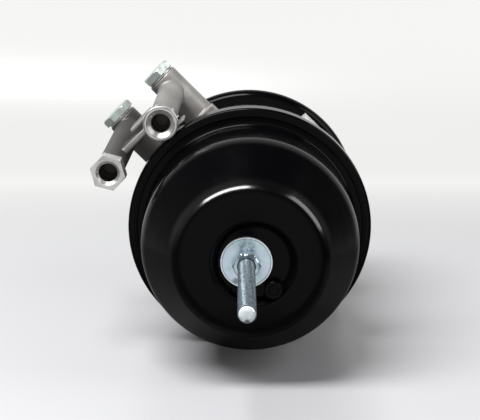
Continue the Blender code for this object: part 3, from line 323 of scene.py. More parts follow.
WASHER_SHADE, RIM_HIGHLIGHT, END_SHADE = (0.10, 0.14, 0.16), (0.90, 0.96, 1.0), (0.05, 0.05, 0.06)
from_bolt = washer_zinc.radius_about((BOLT_X, 0, 0))
# painted shade in the washer's groove
groove_shade = from_bolt.step(0.0168, 0.0171) - from_bolt.step(0.0174, 0.0177)
# painted dark reflection of the nut, above the bolt, mottled by noise
nut_reflection_patch = mark(washer_zinc, BOLT_X, 0.0105, 0.0035, 0.0085)
# painted shade beside the bolt at the washer's lower left
bolt_shade_spot = mark(washer_zinc, BOLT_X - 0.0076, -0.0134, 0.0010, 0.0034)
washer_painted_shade = nut_reflection_patch * washer_zinc.noise(420.0, 4.0).step(0.30, 0.66) * 0.75 + bolt_shade_spot * 0.8 + groove_shade * 0.3
shaded_washer = washer_zinc.mix(washer_painted_shade.capped(), washer_zinc.tone, WASHER_SHADE)
# painted highlight all round the washer's rim
washer_zinc.drive(Base_Color=washer_zinc.mix(from_bolt.step(0.0175, 0.0178), shaded_washer, RIM_HIGHLIGHT))
# painted shade on the bolt's end below its middle
end_shade_mask = mark(end_zinc, BOLT_X, -0.0045, 0.0008, 0.0024)
end_zinc.drive(Base_Color=end_zinc.mix(end_shade_mask * 0.85, end_zinc.tone, END_SHADE))
print("marks on", washer_zinc.material.name, "and", end_zinc.material.name)

# %% [markdown]
# ## Finishes for the inside and the back
# Springs, plates, rubber and the bush are seldom seen, but a cutaway or a pose can show them. Each gets the
# colour and grain of its own material.


# %% Finishes for the inside and the back
def grained_finish(name, slot, constants, grain_of, colors, rough, bump, fine=None):
    """One noise for colour, roughness and bump, where fine can give the bump a noise of its own."""
    made = Finish(name, slot, constants)
    spread = made.noise(*grain_of)
    made.drive(Base_Color=made.mix(spread, *colors), Roughness=rough + 0.2 * spread)
    made.bump(made.noise(*fine) if fine else spread, *bump)
    return made


steel = grained_finish("oiled_steel", "bare_steel", {"Metallic": 1.0}, (60.0, 4.0, (12.0, 1.0, 12.0)),
                       ((0.36, 0.36, 0.37), (0.52, 0.52, 0.52)), 0.28, (0.00005, 0.4))
wire = grained_finish("coated_spring_wire", "spring_steel", {"Metallic": 0.2}, (90.0, 4.0),
                      ((0.012, 0.012, 0.013), (0.05, 0.048, 0.046)), 0.38, (0.00008, 0.4), (900.0, 3.0))
bronze = grained_finish("sintered_bronze", "bush_bronze", {"Metallic": 1.0}, (2500.0, 3.0),
                        ((0.30, 0.19, 0.09), (0.60, 0.42, 0.21)), 0.35, (0.00006, 0.5))
soft_washer = grained_finish("soft_washer_metal", "seal_aluminium", {"Metallic": 0.9}, (500.0, 4.0),
                             ((0.55, 0.55, 0.54), (0.75, 0.75, 0.74)), 0.3, (0.00005, 0.4))
rubber = Finish("matt_rubber", "black_rubber", {"Specular IOR Level": 0.35})
bloom = rubber.noise(70.0, 5.0)
rubber.drive(Base_Color=rubber.mix(bloom.step(0.4, 0.8), (0.012, 0.012, 0.012), (0.040, 0.039, 0.037)),
             Roughness=0.62 + 0.2 * bloom)
rubber.bump(rubber.noise(1500.0, 3.0), 0.0001, 0.5)

# %% [markdown]
# ## Rings about a line
# Almost everything here was turned, drawn or rolled, so one helper makes a skin through rings about any
# line. A ring's radius may be a number or a rule of the angle: a rule makes hexagons and screw threads.
# Rounds come from a second helper, which replaces each corner of a section by an arc.


# %% Rings about a line
def rounded(corners, degrees=7.0):
    """Turns a closed section of (radius, height, round) into points, with an arc at each round."""
    points = []
    for index, (radius, height, size) in enumerate(corners):
        here = Vector((radius, height))
        if size <= 0:
            points.append((radius, height))
            continue
        before = Vector(corners[index - 1][:2]) - here
        after = Vector(corners[(index + 1) % len(corners)][:2]) - here
        half = before.angle(after) / 2
        reach = min(size / math.tan(half), 0.49 * before.length, 0.49 * after.length)
        size = reach * math.tan(half)
        centre = here + (before.normalized() + after.normalized()).normalized() * size / math.sin(half)
        first, last = here + before.normalized() * reach - centre, here + after.normalized() * reach - centre
        turn = first.angle_signed(last)
        steps = max(2, math.ceil(abs(math.degrees(turn)) / degrees))
        for part in range(steps + 1):
            angle = turn * part / steps
            points.append((centre.x + first.x * math.cos(angle) + first.y * math.sin(angle),
                           centre.y - first.x * math.sin(angle) + first.y * math.cos(angle)))
    return points


def filled(points, gap):
    """Adds points so that none lies further than gap from the next."""
    result = []
    for first, second in zip(points, points[1:] + points[:1]):
        count = max(1, math.ceil(math.dist(first, second) / gap))
        result += [tuple(a + (b - a) * k / count for a, b in zip(first, second)) for k in range(count)]
    return result


def skin(rows, at=(0, 0, 0), along=AXIS, steps=96, begin=0.0, closed=False):
    """Points and faces through rings; a row is (radius or rule, height along the line)."""
    along = np.array(along, float) / np.linalg.norm(along)
    side = np.cross(AXIS, along)
    side = np.array((1.0, 0, 0)) if np.linalg.norm(side) < 1e-6 else side / np.linalg.norm(side)
    turn = math.radians(begin) + 2 * math.pi * np.arange(steps) / steps
    circle = np.outer(np.cos(turn), side) + np.outer(np.sin(turn), np.cross(along, side))
    points, rings = [], []
    for radius, height in rows:
        start = len(points)
        middle = np.array(at, float) + along * height
        if not callable(radius) and radius < 1e-7:
            points.append(tuple(middle))
            rings.append([start] * steps)
            continue
        size = radius(turn) if callable(radius) else np.full(steps, radius)
        points += [tuple(point) for point in middle + circle * size[:, None]]
        rings.append(list(range(start, start + steps)))
    faces = []
    for low, high in zip(rings, rings[1:] + (rings[:1] if closed else [])):
        for k in range(steps):
            face = list(dict.fromkeys((low[k], low[k - 1], high[k - 1], high[k])))
            if len(face) > 2:
                faces.append(face)
    return points, faces


print("a test ring has", len(skin([(1, 0), (1, 1)])[1]), "faces")

# %% [markdown]
# ## Pieces
# A piece joins one or more skins into an object, gives it its finish, and makes it ride on the body it
# belongs to. The solid it stands for is hidden. Modifiers are applied at once, so that the mesh that is
# seen is the mesh that is stored.


# %% Pieces
def placed(name, data):
    """A new object in the scene."""
    made = bpy.data.objects.new(name, data)
    bpy.context.scene.collection.objects.link(made)
    return made


def piece(name, finish, skins, body="cylinder", instead_of=(), sharp=32.0):
    points, faces = [], []
    for more_points, more_faces in skins:
        faces += [[index + len(points) for index in face] for face in more_faces]
        points += more_points
    mesh = bpy.data.meshes.new(name)
    mesh.from_pydata(points, [], faces)
    work = bmesh.new()
    work.from_mesh(mesh)
    bmesh.ops.recalc_face_normals(work, faces=work.faces)
    work.to_mesh(mesh)
    work.free()
    made = placed(name, mesh)
    if finish:
        mesh.materials.append(finish.material)
    if body:
        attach(made, body)
    if instead_of:
        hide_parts(*instead_of)
    smooth(made, sharp)
    print(f"{name}: {len(mesh.polygons)} faces")
    return made


def smooth(made, sharp=32.0):
    made.data.shade_smooth()
    made.data.set_sharp_from_angle(angle=math.radians(sharp))


def reshape(made, kind, **settings):
    """Adds a modifier, sets it, and keeps its result as the mesh."""
    step = made.modifiers.new(kind.lower(), kind)
    for name, value in settings.items():
        setattr(step, name, value)
    result = bpy.data.meshes.new_from_object(made.evaluated_get(bpy.context.evaluated_depsgraph_get()))
    made.modifiers.clear()
    made.data = result


def carve(made, *skins):
    """Cuts shapes out of a piece."""
    for cutter_skin in skins:
        cutter = piece("cutter", None, [cutter_skin], body=None)
        reshape(made, "BOOLEAN", operation="DIFFERENCE", solver="MANIFOLD", object=cutter)
        bpy.data.objects.remove(cutter, do_unlink=True)


def drum(radius, low, high):
    return [(0, low), (radius, low), (radius, high), (0, high)]


print("piece helpers ready")

# %% [markdown]
# ## Hexagons and threads
# A hexagon's radius is its half width over the cosine of the angle to the middle of the side. A cone turns
# down a nut's corners, so the smaller of two radii counts. A thread is a ridge that depends on angle and
# height together, so it climbs as a true helix.


# %% Hexagons and threads
def hexagon(flats, begin):
    """Radius of a hexagon by angle, with its first corner at begin degrees."""
    return lambda turn: flats / 2 / np.cos(np.radians((np.degrees(turn) - begin + 1e-6) % 60 - 30))


def turned_down(flats, begin, limit):
    """A hexagon whose corners are cut off at a radius."""
    side = hexagon(flats, begin)
    return lambda turn: np.minimum(side(turn), limit)


def thread_rows(root, crest, pitch, low, high, per_turn=8, fade=0.0015):
    """Rings of a screw thread between two heights, running out softly at both ends."""
    rows = []
    outer, deep = max(root, crest), abs(crest - root)
    count = math.ceil((high - low) / pitch * per_turn)
    for height in np.linspace(low, high, count + 1):
        cut = min(1.0, (height - low) / fade, (high - height) / fade)

        def ridge(turn, height=height, cut=cut):
            share = (height / pitch - turn / (2 * math.pi)) % 1.0
            wave = np.clip((1 - np.abs(2 * share - 1)) * 1.5 - 0.25, 0, 1)
            return outer - deep * (1 - wave) * cut
        rows.append((ridge, height))
    return rows


def coil(name, finish, wire_r, start, end, turns, sides=14, per_turn=48, flat=0.7):
    """A wound spring between two (radius, height) ends, with its last turns wound closer."""
    path = []
    count = int(turns * per_turn)
    for index in range(count + 1):
        share = index / count
        angle = 2 * math.pi * turns * share
        lift = min(max((turns * share - flat * 0.5) / (turns - flat), 0.0), 1.0)
        radius = start[0] + (end[0] - start[0]) * share
        path.append((angle, radius, start[1] + (end[1] - start[1]) * lift))
    points, faces = [], []
    for angle, radius, height in path:
        out = np.array((math.cos(angle), 0, math.sin(angle)))
        for corner in range(sides):
            around = 2 * math.pi * corner / sides
            points.append(tuple(out * (radius + wire_r * math.cos(around))
                                + AXIS * (height + wire_r * math.sin(around))))
    for ring in range(count):
        for corner in range(sides):
            beside = (corner + 1) % sides
            low, high = ring * sides, (ring + 1) * sides
            faces.append([low + corner, low + beside, high + beside, high + corner])
    faces += [list(range(sides)), list(range(count * sides, (count + 1) * sides))]
    return piece(name, finish, [(points, faces)], body=None)


print("corner of a 24 mm hexagon:", round(float(hexagon(0.024, 0)(np.zeros(1))[0]), 5))

# %% [markdown]
# ## Spring housing
# The dome is one pressed sheet: a flat end, a sloping shoulder, a short wall, and a rim that is rolled over
# the cast body's flange. Spinning its section is the exact way to get even reflections. The section keeps a
# small bead near the rim, where the rolling tool ran.

# %% Spring housing
SHEET, BORE_R, SHOULDER_R, RIM_R, RIM_LIP_R = 0.003, 0.0115, 0.0811, 0.0946, 0.0866
rim_front, lip_back = SPRING_PLANE - 0.0048, SPRING_PLANE + 0.0111
housing_section = rounded([
    (BORE_R, RECESS_FLOOR, 0.0004), (0.0257, RECESS_FLOOR, 0.0018), (0.0310, END_FACE, 0.0016),
    (0.0530, END_FACE, 0.012), (SHOULDER_R, -0.22756, 0.024), (SHOULDER_R, rim_front, 0.005),
    (0.0874, rim_front, 0.0008), (0.0880, rim_front - 0.0003, 0.0006), (0.0892, rim_front - 0.0003, 0.0006),
    (0.0898, rim_front, 0.0008), (RIM_R, rim_front, 0.0045), (RIM_R, lip_back, 0.0027),
    (RIM_LIP_R, lip_back, 0.0006), (RIM_LIP_R, lip_back - SHEET, 0), (RIM_R - SHEET, lip_back - SHEET, 0),
    (RIM_R - SHEET, rim_front + SHEET, 0), (SHOULDER_R - SHEET, rim_front + SHEET, 0.0020),
    (SHOULDER_R - SHEET, -0.22592, 0.021), (0.0514, END_FACE + SHEET, 0.009),
    (0.0325, END_FACE + SHEET, 0.001), (0.0272, RECESS_FLOOR + SHEET, 0.001),
    (BORE_R, RECESS_FLOOR + SHEET, 0.0004),
], 4.0)
dome = piece("spring_dome", black, [skin(filled(housing_section, 0.0015), steps=216, closed=True)],
             instead_of=["spring_housing"])

# %% [markdown]
# ## Recess, drain channel and vent
# The end's recess is pressed a little off centre. At its lowest point a shallow channel lets water run out
# over the wall, and beside it sits the vent plug in its own bore. The recess is pressed by moving points of
# the spun mesh, which keeps its even grid; the channel and the bore are cut.


# %% Recess, drain channel and vent
RECESS_SHIFT, VENT_OUT, VENT_ANGLE, CHANNEL_TOP = 0.0022, 0.0242, math.radians(-54), -0.0135


def soft_step(value, low, high):
    share = np.clip((value - low) / (high - low), 0, 1)
    return share * share * (3 - 2 * share)


places = np.array([vert.co for vert in dome.data.vertices])
radii = np.hypot(places[:, 0], places[:, 2])
pressed = places[:, 1] < RECESS_FLOOR + 0.0045
shift = RECESS_SHIFT * pressed * (1 - soft_step(radii, 0.034, 0.046)) * soft_step(radii, 0.0116, 0.0150)
places[:, 0] += shift
dome.data.vertices.foreach_set("co", places.ravel())
vent = (RECESS_SHIFT + VENT_OUT * math.cos(VENT_ANGLE), 0, VENT_OUT * math.sin(VENT_ANGLE))


def channel_skin(top, bottom):
    """The drain channel's shape; each end is (place on the axis, half width above and below, lowest z)."""
    points = []
    for y, upper, lower, low_z in (top, bottom):
        points += [(BOLT_X - upper, y, CHANNEL_TOP), (BOLT_X + upper, y, CHANNEL_TOP),
                   (BOLT_X + lower, y, low_z), (BOLT_X - lower, y, low_z)]
    return points, [[0, 1, 2, 3], [7, 6, 5, 4]] + [[k, 4 + k, 4 + (k + 1) % 4, (k + 1) % 4] for k in range(4)]


channel = channel_skin((RECESS_FLOOR - 0.0040, 0.0098, 0.0160, -0.0312),
                       (RECESS_FLOOR + 0.0018, 0.0080, 0.0128, -0.0290))
carve(dome, channel, skin(drum(0.0069, END_FACE - 0.002, END_FACE + 0.0055), at=vent, steps=64))
smooth(dome)
vent_rows = rounded([
    (0, END_FACE + 0.0009, 0), (0.0030, END_FACE + 0.0009, 0.0004), (0.0040, END_FACE + 0.0003, 0.0004),
    (0.0066, END_FACE + 0.0003, 0.0008), (0.0066, END_FACE + 0.0052, 0), (0, END_FACE + 0.0052, 0),
])
piece("vent_disc", black, [skin(vent_rows, at=vent, steps=64)], instead_of=["vent_plug"])

# %% [markdown]
# ## Washer, nut and release bolt
# The washer is stamped, so its front edge is rounded and its back is sharp. The nut's corners are turned
# down on both sides. The bolt is threaded over its whole outer length, and its end is chamfered. Threads
# are modelled rather than painted, because their highlights make the bolt look like a bolt.

# %% Washer, nut and release bolt
WASHER_BORE_R, WASHER_R, NUT_FLATS, NUT_HEIGHT = 0.0065, 0.0185, 0.018, 0.010
BOLT_CORE_R, BOLT_R, BOLT_PITCH = 0.00505, 0.0060, 0.00175
HEAD_FRONT, HEAD_BACK = -0.2251, -0.2163
at_bolt = (BOLT_X, 0, 0)
washer_back = WASHER_FRONT + 0.003
washer_rows = rounded([
    (WASHER_BORE_R, WASHER_FRONT, 0.0002), (0.0172, WASHER_FRONT, 0.0002), (0.0174, WASHER_FRONT + 0.0004, 0),
    (0.0176, WASHER_FRONT, 0.0002), (WASHER_R, WASHER_FRONT, 0.0006), (WASHER_R, washer_back, 0.0002),
    (WASHER_BORE_R, washer_back, 0.0002),
])
piece("bolt_washer", washer_zinc, [skin(washer_rows, at_bolt, steps=144, closed=True)],
      instead_of=["release_washer"])

nut_back = NUT_FRONT + NUT_HEIGHT
nut_rows = [(0.0066, NUT_FRONT), (0.0084, NUT_FRONT)]
for height in np.linspace(0, NUT_HEIGHT, 21):
    limit = 0.0086 + min(height, NUT_HEIGHT - height) * 1.35
    nut_rows.append((turned_down(NUT_FLATS, 0, limit), NUT_FRONT + height))
nut_rows += [(0.0084, nut_back), (0.0066, nut_back), (0.0064, nut_back - 0.0006)]
nut_rows += [(0.0063, height) for height in np.linspace(nut_back - 0.001, NUT_FRONT + 0.001, 4)]
nut_rows.append((0.0064, NUT_FRONT + 0.0006))
piece("hex_nut", nut_zinc, [skin(nut_rows, at_bolt, steps=96, closed=True)],
      "release_nut", ["release_nut"], 20.0)

end_rows = [(radius, BOLT_TIP + back) for radius, back in (
    (0, 0), (0.0022, 0.00005), (0.0036, 0.00025), (0.0045, 0.0007), (0.0052, 0.0014), (0.0054, 0.0020),
    (0.0045, 0.0021))]
piece("release_bolt_end", end_zinc, [skin(end_rows, at_bolt, steps=64)],
      "spring_piston", ["release_bolt"], 60.0)
bolt_rows = [(0.0040, BOLT_TIP + 0.0019), (0.0055, BOLT_TIP + 0.0020)]
bolt_rows += thread_rows(BOLT_CORE_R, BOLT_R, BOLT_PITCH, BOLT_TIP + 0.0020, -0.2560, per_turn=8)
bolt_rows += [(BOLT_R, -0.2555), (BOLT_R, -0.2208), (0, -0.2208)]
head_edge, head_side = hexagon(0.0100, 45), hexagon(0.0112, 45)
head_rows = [(0, HEAD_FRONT), (head_edge, HEAD_FRONT), (head_side, -0.2240), (head_side, -0.2172),
             (head_edge, HEAD_BACK), (0, HEAD_BACK)]
piece("release_bolt_thread", bolt_zinc,
      [skin(bolt_rows, at_bolt, steps=48), skin(head_rows, at_bolt, steps=48)],
      "spring_piston", ["release_bolt"])

# %% [markdown]
# ## Cast body
# The body is two bowls back to back with a thick web between them, so its bulk is spun like the dome. The
# flange and the slope on its service side fit under the clamp ring.

# %% Cast body
FLANGE_R, WALL_R, SLOPE_R, WEB_BORE_R, LIP_R = 0.0913, 0.0815, 0.0765, 0.0156, 0.0805
flange_front, flange_back = SPRING_PLANE + 0.0018, SPRING_PLANE + 0.0078
service_edge = SERVICE_PLANE - 0.0018
service_front = service_edge - 0.004
body_section = rounded([
    (FLANGE_R, flange_front, 0.0005), (FLANGE_R, flange_back, 0.0005), (0.0863, flange_back, 0),
    (WALL_R, flange_back + 0.007, 0.002), (WALL_R, WEB_FRONT - 0.016, 0.006), (SLOPE_R, WEB_FRONT, 0.006),
    (SLOPE_R, service_front - 0.006, 0.003), (LIP_R - GAP, service_front - 0.002, 0),
    (0.088, service_front, 0), (0.088, service_edge, 0.0005), (0.0745, service_edge, 0.002),
    (0.0725, service_edge - 0.007, 0.002), (0.066, WEB_BACK, 0.003), (WEB_BORE_R, WEB_BACK, 0.0006),
    (WEB_BORE_R, WEB_FRONT, 0.0006), (0.058, WEB_FRONT, 0.003), (0.076, WEB_FRONT - 0.020, 0.004),
    (0.078, flange_front, 0.001),
], 6.0)
piece("case_body", cast, [skin(filled(body_section, 0.004), steps=192, closed=True)],
      instead_of=["flange_case"])

# %% [markdown]
# ## Tubes, arms and ribs
# Two tubes stand out of the body side by side, and an arm runs from each to its port. On a casting all
# these flow into each other with soft fillets. They are made as overlapping solids, wrapped in one skin of
# small voxels, and smoothed a little: the voxels make the fillets that Boolean unions leave out.


# %% Tubes, arms and ribs
BOX_FACES = [[0, 1, 3, 2], [4, 6, 7, 5], [0, 4, 5, 1], [2, 3, 7, 6], [0, 2, 6, 4], [1, 5, 7, 3]]
TUBE_A, TUBE_B, TUBE_ROOT, TUBE_END, TUBE_R, ARM_R = 0.0258, -0.0208, 0.047, 0.1268, 0.0128, 0.0104


def box_skin(low, high):
    """A box between two corners given across the tubes, along them and on the axis."""
    points = [tuple(manifold_point(e, t, y)) for e in (low[0], high[0]) for t in (low[1], high[1])
              for y in (low[2], high[2])]
    return points, BOX_FACES


def arm_skin(start, end, radius):
    """A round bar with a ball at its start."""
    reach = np.linalg.norm(end - start)
    ball = [(radius * math.sin(angle), -radius * math.cos(angle)) for angle in np.linspace(0, math.pi / 2, 9)]
    return skin(ball + [(radius, reach), (0, reach)], start, end - start, 64)


def tube_skin(across):
    rows = [(0, TUBE_ROOT), (TUBE_R, TUBE_ROOT), (TUBE_R, 0.1264), (0.0124, TUBE_END), (0, TUBE_END)]
    return skin(rows, manifold_point(across, 0, TUBE_Y), AWAY, 64)


arm_a = (manifold_point(TUBE_A, 0.1138, TUBE_Y), manifold_point(0.0109, 0.1069, -0.1665))
arm_b = (manifold_point(TUBE_B, 0.1165, TUBE_Y), manifold_point(-0.0399, 0.1106, -0.1885))
block_front = TUBE_Y - 0.0148
rib_back = RIB_FRONT + 0.020
arm_web = [
    box_skin((-0.0106, 0.1164, RIB_FRONT), (0.0109, 0.1198, rib_back)),
    box_skin((-0.0275, 0.1083, RIB_FRONT), (0.0109, 0.1133, rib_back)),
    box_skin((0.0109, 0.0951, RIB_FRONT), (0.0250, 0.0972, rib_back)),
]
manifold = piece("cast_manifold", cast, [
    tube_skin(TUBE_A), tube_skin(TUBE_B), arm_skin(*arm_a, ARM_R), arm_skin(*arm_b, ARM_R),
    box_skin((-0.033, 0.062, block_front), (0.041, 0.084, block_front + 0.008)), *arm_web,
], instead_of=["flange_case"])
reshape(manifold, "REMESH", mode="VOXEL", voxel_size=0.0008)
reshape(manifold, "SMOOTH", factor=0.6, iterations=5)
carve(manifold, *(skin(drum(0.0082, -0.004, 0.0200), port) for port in (PORT_A, PORT_B)))
smooth(manifold, 50.0)
print("manifold:", len(manifold.data.polygons), "faces")

# %% [markdown]
# ## Land on the right
# At the upper right the body carries a raised land with a machined top, which shows as a bright wedge
# behind the rim. It is a plain block with its edges broken, whose top is milled.

# %% Land on the right
land = grained_finish("machined_land", "cast_aluminium", {"Metallic": 0.4}, (300.0, 4.0, (1.0, 6.0, 1.0)),
                      ((0.50, 0.49, 0.47), (0.64, 0.63, 0.61)), 0.34, (0.00006, 0.5))
milled = piece("body_land", land, [box_skin((0.0738, -0.0185, block_front), (0.0855, 0.0185, -0.0703))],
               instead_of=["flange_case"])
reshape(milled, "BEVEL", width=0.0008, segments=3, limit_method="ANGLE")
smooth(milled)

# %% [markdown]
# ## Ports
# Each port ends in a hexagon that is faced on the lathe, with a flared mouth and an internal thread. Port A
# also has a round collar in front of its hexagon, with turned grooves. One row list per port runs from the
# back of the hexagon, over the face, into the mouth and down the thread.

# %% Ports
PORT_ROLL, PORT_R, PORT_CORE_R = 15.0, 0.0080, 0.0072
port_hex = hexagon(0.024, PORT_ROLL)
bore_rows = [(0.0074, 0.0168), (0.0046, 0.0175), (0.0045, 0.0300), (0, 0.0300)]
hexagon_rows = [(PORT_R, 0.0130), (turned_down(0.0236, PORT_ROLL, 0.0133), 0.0130), (port_hex, 0.0126)]


def port_mouth(name, finish, front_rows, thread_begin, port):
    """A port's hexagon, face, mouth and thread in one skin about the port's axis."""
    thread = thread_rows(PORT_R, PORT_CORE_R, 0.0015, thread_begin, 0.0166, 8, 0.0006)
    piece(name, finish, [skin(hexagon_rows + front_rows + thread + bore_rows, port, begin=PORT_ROLL)],
          instead_of=["flange_case"], sharp=25.0)


collar_rows = [
    (port_hex, 0.0050), (turned_down(0.0238, PORT_ROLL, 0.0134), 0.0045), (0.0133, 0.0044), (0.0134, 0.0040),
    (0.0134, 0.0006), (0.0130, 0.0001), (0.0127, 0.0), (0.0125, 0.0004), (0.0122, 0.0004), (0.0120, 0.0),
    (0.0109, 0.0), (0.0105, 0.0002), (0.0101, 0.0007), (0.0088, 0.0022), (0.0079, 0.0033),
]
port_mouth("port_a_mouth", turned_a, collar_rows, 0.0036, PORT_A)
face_rows = [
    (port_hex, 0.0005), (turned_down(0.0234, PORT_ROLL, 0.0136), 0.0), (0.0095, 0.0), (0.0091, 0.0001),
    (0.0088, 0.0004), (PORT_R, 0.0016),
]
port_mouth("port_b_mouth", turned_b, face_rows, 0.0019, PORT_B)

# %% [markdown]
# ## Tube plugs
# The drillings along the tubes are closed by hexagon plugs with soft sealing washers. The plug's outer
# corners are turned down, which gives the thin bright line round its end.

# %% Tube plugs
PLUG_FLATS, PLUG_R, SEAL_BORE_R, SEAL_R = 0.024, 0.0080, 0.0083, 0.0118
seal_rows = rounded([
    (SEAL_BORE_R, 0.0003, 0), (SEAL_R, 0.0003, 0.0003), (SEAL_R, 0.0015, 0.0003), (SEAL_BORE_R, 0.0015, 0),
])
for side, across, roll in (("a", TUBE_A, 42.0), ("b", TUBE_B, 11.0)):
    tube_end = manifold_point(across, TUBE_END, TUBE_Y)
    piece(f"seal_ring_{side}", soft_washer, [skin(seal_rows, tube_end, AWAY, closed=True)],
          instead_of=[f"plug_seal_{side}"])
    plug_rows = [(0, -0.011), (PLUG_R, -0.011), (PLUG_R, 0.0018), (turned_down(0.0236, roll, 0.0136), 0.0018)]
    for height in (0.0021, 0.0040, 0.0056, 0.0062, 0.0067, 0.0072, 0.0076, 0.0079):
        plug_rows.append((turned_down(PLUG_FLATS, roll, 0.0124 + (0.0080 - height) * 1.1), height))
    plug_rows += [(turned_down(0.0236, roll, 0.0122), 0.0080), (0.0070, 0.0080), (0.0066, 0.0077),
                  (0, 0.0077)]
    piece(f"hex_plug_{side}", plug_zinc, [skin(plug_rows, tube_end, AWAY, begin=roll)],
          instead_of=[f"tube_plug_{side}"], sharp=18.0)

# %% [markdown]
# ## Clamp ring
# The service side is held by a band with a V section, split at the lower right and drawn together by one
# bolt. The band is swept round the axis as an arc, which leaves the slot, and its ears are small boxes with
# a bevel.

# %% Clamp ring
RING_R, RING_INNER_R, SLOT_AT, SLOT_WIDTH, CLAMP_FLATS = 0.0913, 0.0883, -50, 0.006, 0.0130


def arc_skin(section, begin, sweep, steps):
    """A closed section swept part of the way about the axis, with flat ends."""
    points, faces = [], []
    count = len(section)
    for angle in np.radians(np.linspace(begin, begin + sweep, steps + 1)):
        points += [(r * math.cos(angle), y, r * math.sin(angle)) for r, y in section]
    for step in range(steps):
        for k in range(count):
            low, high = step * count, (step + 1) * count
            faces.append([low + k, low + (k + 1) % count, high + (k + 1) % count, high + k])
    return points, faces + [list(range(count)), list(range(steps * count, (steps + 1) * count))]


ring_section = rounded([
    (LIP_R, SERVICE_PLANE - 0.0099, 0.0009), (RING_R, SERVICE_PLANE - 0.0060, 0.0095),
    (RING_R, SERVICE_PLANE + 0.0060, 0.0095), (LIP_R, SERVICE_PLANE + 0.0099, 0.0009),
    (LIP_R, SERVICE_PLANE + 0.0080, 0.0004), (RING_INNER_R, SERVICE_PLANE + 0.0058, 0.001),
    (RING_INNER_R, SERVICE_PLANE - 0.0058, 0.001), (LIP_R, SERVICE_PLANE - 0.0080, 0.0004),
], 6.0)
slot = math.degrees(SLOT_WIDTH / RING_R)
piece("clamp_band", black, [arc_skin(ring_section, SLOT_AT + slot / 2, 360 - slot, 200)],
      instead_of=["clamp_ring"])
outward = np.array((math.cos(math.radians(SLOT_AT)), 0, math.sin(math.radians(SLOT_AT))))
around_axis = np.array((-outward[2], 0, outward[0]))


def ear_skin(sign):
    """A box of 23.9 x 13 x 6 mm beside the slot."""
    middle = AXIS * SERVICE_PLANE + outward * 0.10085 + around_axis * sign * 0.006
    points = [tuple(middle + outward * a * 0.01195 + AXIS * b * 0.0065 + around_axis * c * 0.003)
              for a in (-1, 1) for b in (-1, 1) for c in (-1, 1)]
    return points, BOX_FACES


ears = piece("clamp_ears", black, [ear_skin(-1), ear_skin(1)], instead_of=["clamp_ring"])
reshape(ears, "BEVEL", width=0.0016, segments=3, limit_method="ANGLE")
smooth(ears)
through_ears = AXIS * SERVICE_PLANE + outward * 0.10334
hex_edge, hex_side = turned_down(CLAMP_FLATS, 0, 0.0066), turned_down(CLAMP_FLATS, 0, 0.0074)
screw_rows = [(0, -0.0148), (hex_edge, -0.0148), (hex_side, -0.0142), (hexagon(CLAMP_FLATS, 0), -0.0098),
              (0.0040, -0.0093), (0.0040, 0.0093)]
screw_rows += thread_rows(0.0034, 0.0040, 0.00125, 0.0094, 0.0196, 6, 0.0008)
screw_rows += [(0.0030, 0.0199), (0, 0.0199)]
piece("clamp_screw", stud_zinc, [skin(screw_rows, through_ears, around_axis, 48)], instead_of=["clamp_bolt"])
clamp_nut = [(0.0043, 0.0093), (hex_edge, 0.0093), (hex_side, 0.0099), (hex_side, 0.0152), (hex_edge, 0.0158),
             (0.0043, 0.0158)]
piece("clamp_screw_nut", stud_zinc, [skin(clamp_nut, through_ears, around_axis, 48, closed=True)],
      instead_of=["clamp_nut"])

# %% [markdown]
# ## Service housing and studs
# The back of the cylinder is hidden in the picture, so it is finished plainly. It is a black cup with a
# flat mounting face, two studs, a drain plug, and an opening for the push rod.

# %% Service housing and studs
STUD_X, STUD_R, STUD_HEAD_R, DRAIN_R = 0.060325, 0.0080, 0.0108, 0.0058
CUP_BORE_R, CUP_SIDE_R, CUP_WALL_R = 0.0270, 0.0795, 0.0765
cup_front = SERVICE_PLANE + 0.0018
cup_section = rounded([
    (CUP_BORE_R, 0, 0.0006), (CUP_WALL_R, 0, 0.006), (CUP_SIDE_R, -0.030, 0.008),
    (CUP_SIDE_R, cup_front + 0.009, 0.001), (LIP_R - GAP, cup_front + 0.006, 0),
    (0.088, cup_front + 0.004, 0), (0.088, cup_front, 0.0005), (CUP_WALL_R, cup_front, 0.002),
    (CUP_WALL_R, -0.030, 0.008), (0.0747, -0.003, 0.003), (CUP_BORE_R, -0.003, 0.0006),
], 6.0)
cup = piece("service_cup", black, [skin(filled(cup_section, 0.004), steps=192, closed=True)],
            instead_of=["service_housing"])
drain = (0, 0, -0.05425)
carve(cup, *(skin(drum(0.0083, -0.006, 0.002), (sign * STUD_X, 0, 0), steps=48) for sign in (-1, 1)),
      skin(drum(DRAIN_R, -0.006, 0.002), drain, steps=48))
smooth(cup)
stud_rows = [(0, -0.0078), (0.0102, -0.0078), (STUD_HEAD_R, -0.0072), (STUD_HEAD_R, -0.0033),
             (STUD_R, -0.0033), (STUD_R, 0.0030)]
stud_rows += thread_rows(0.0071, STUD_R, 0.0015, 0.0032, 0.0348, 8, 0.0015) + [(0.0066, 0.0360), (0, 0.0360)]
for side, sign in (("left", -1), ("right", 1)):
    piece(f"stud_{side}", stud_zinc, [skin(stud_rows, (sign * STUD_X, 0, 0), steps=48)],
          instead_of=[f"mounting_stud_{side}"])
drain_rows = rounded([
    (0, -0.0055, 0), (0.0080, -0.0055, 0.0008), (0.0080, -0.0033, 0.0004), (0.0055, -0.0033, 0),
    (0.0055, -0.0003, 0.0004), (0.0030, -0.0003, 0.0004), (0.0026, -0.0012, 0), (0, -0.0012, 0),
])
piece("drain_stopper", rubber, [skin(drain_rows, drain, steps=48)], instead_of=["drain_plug"])
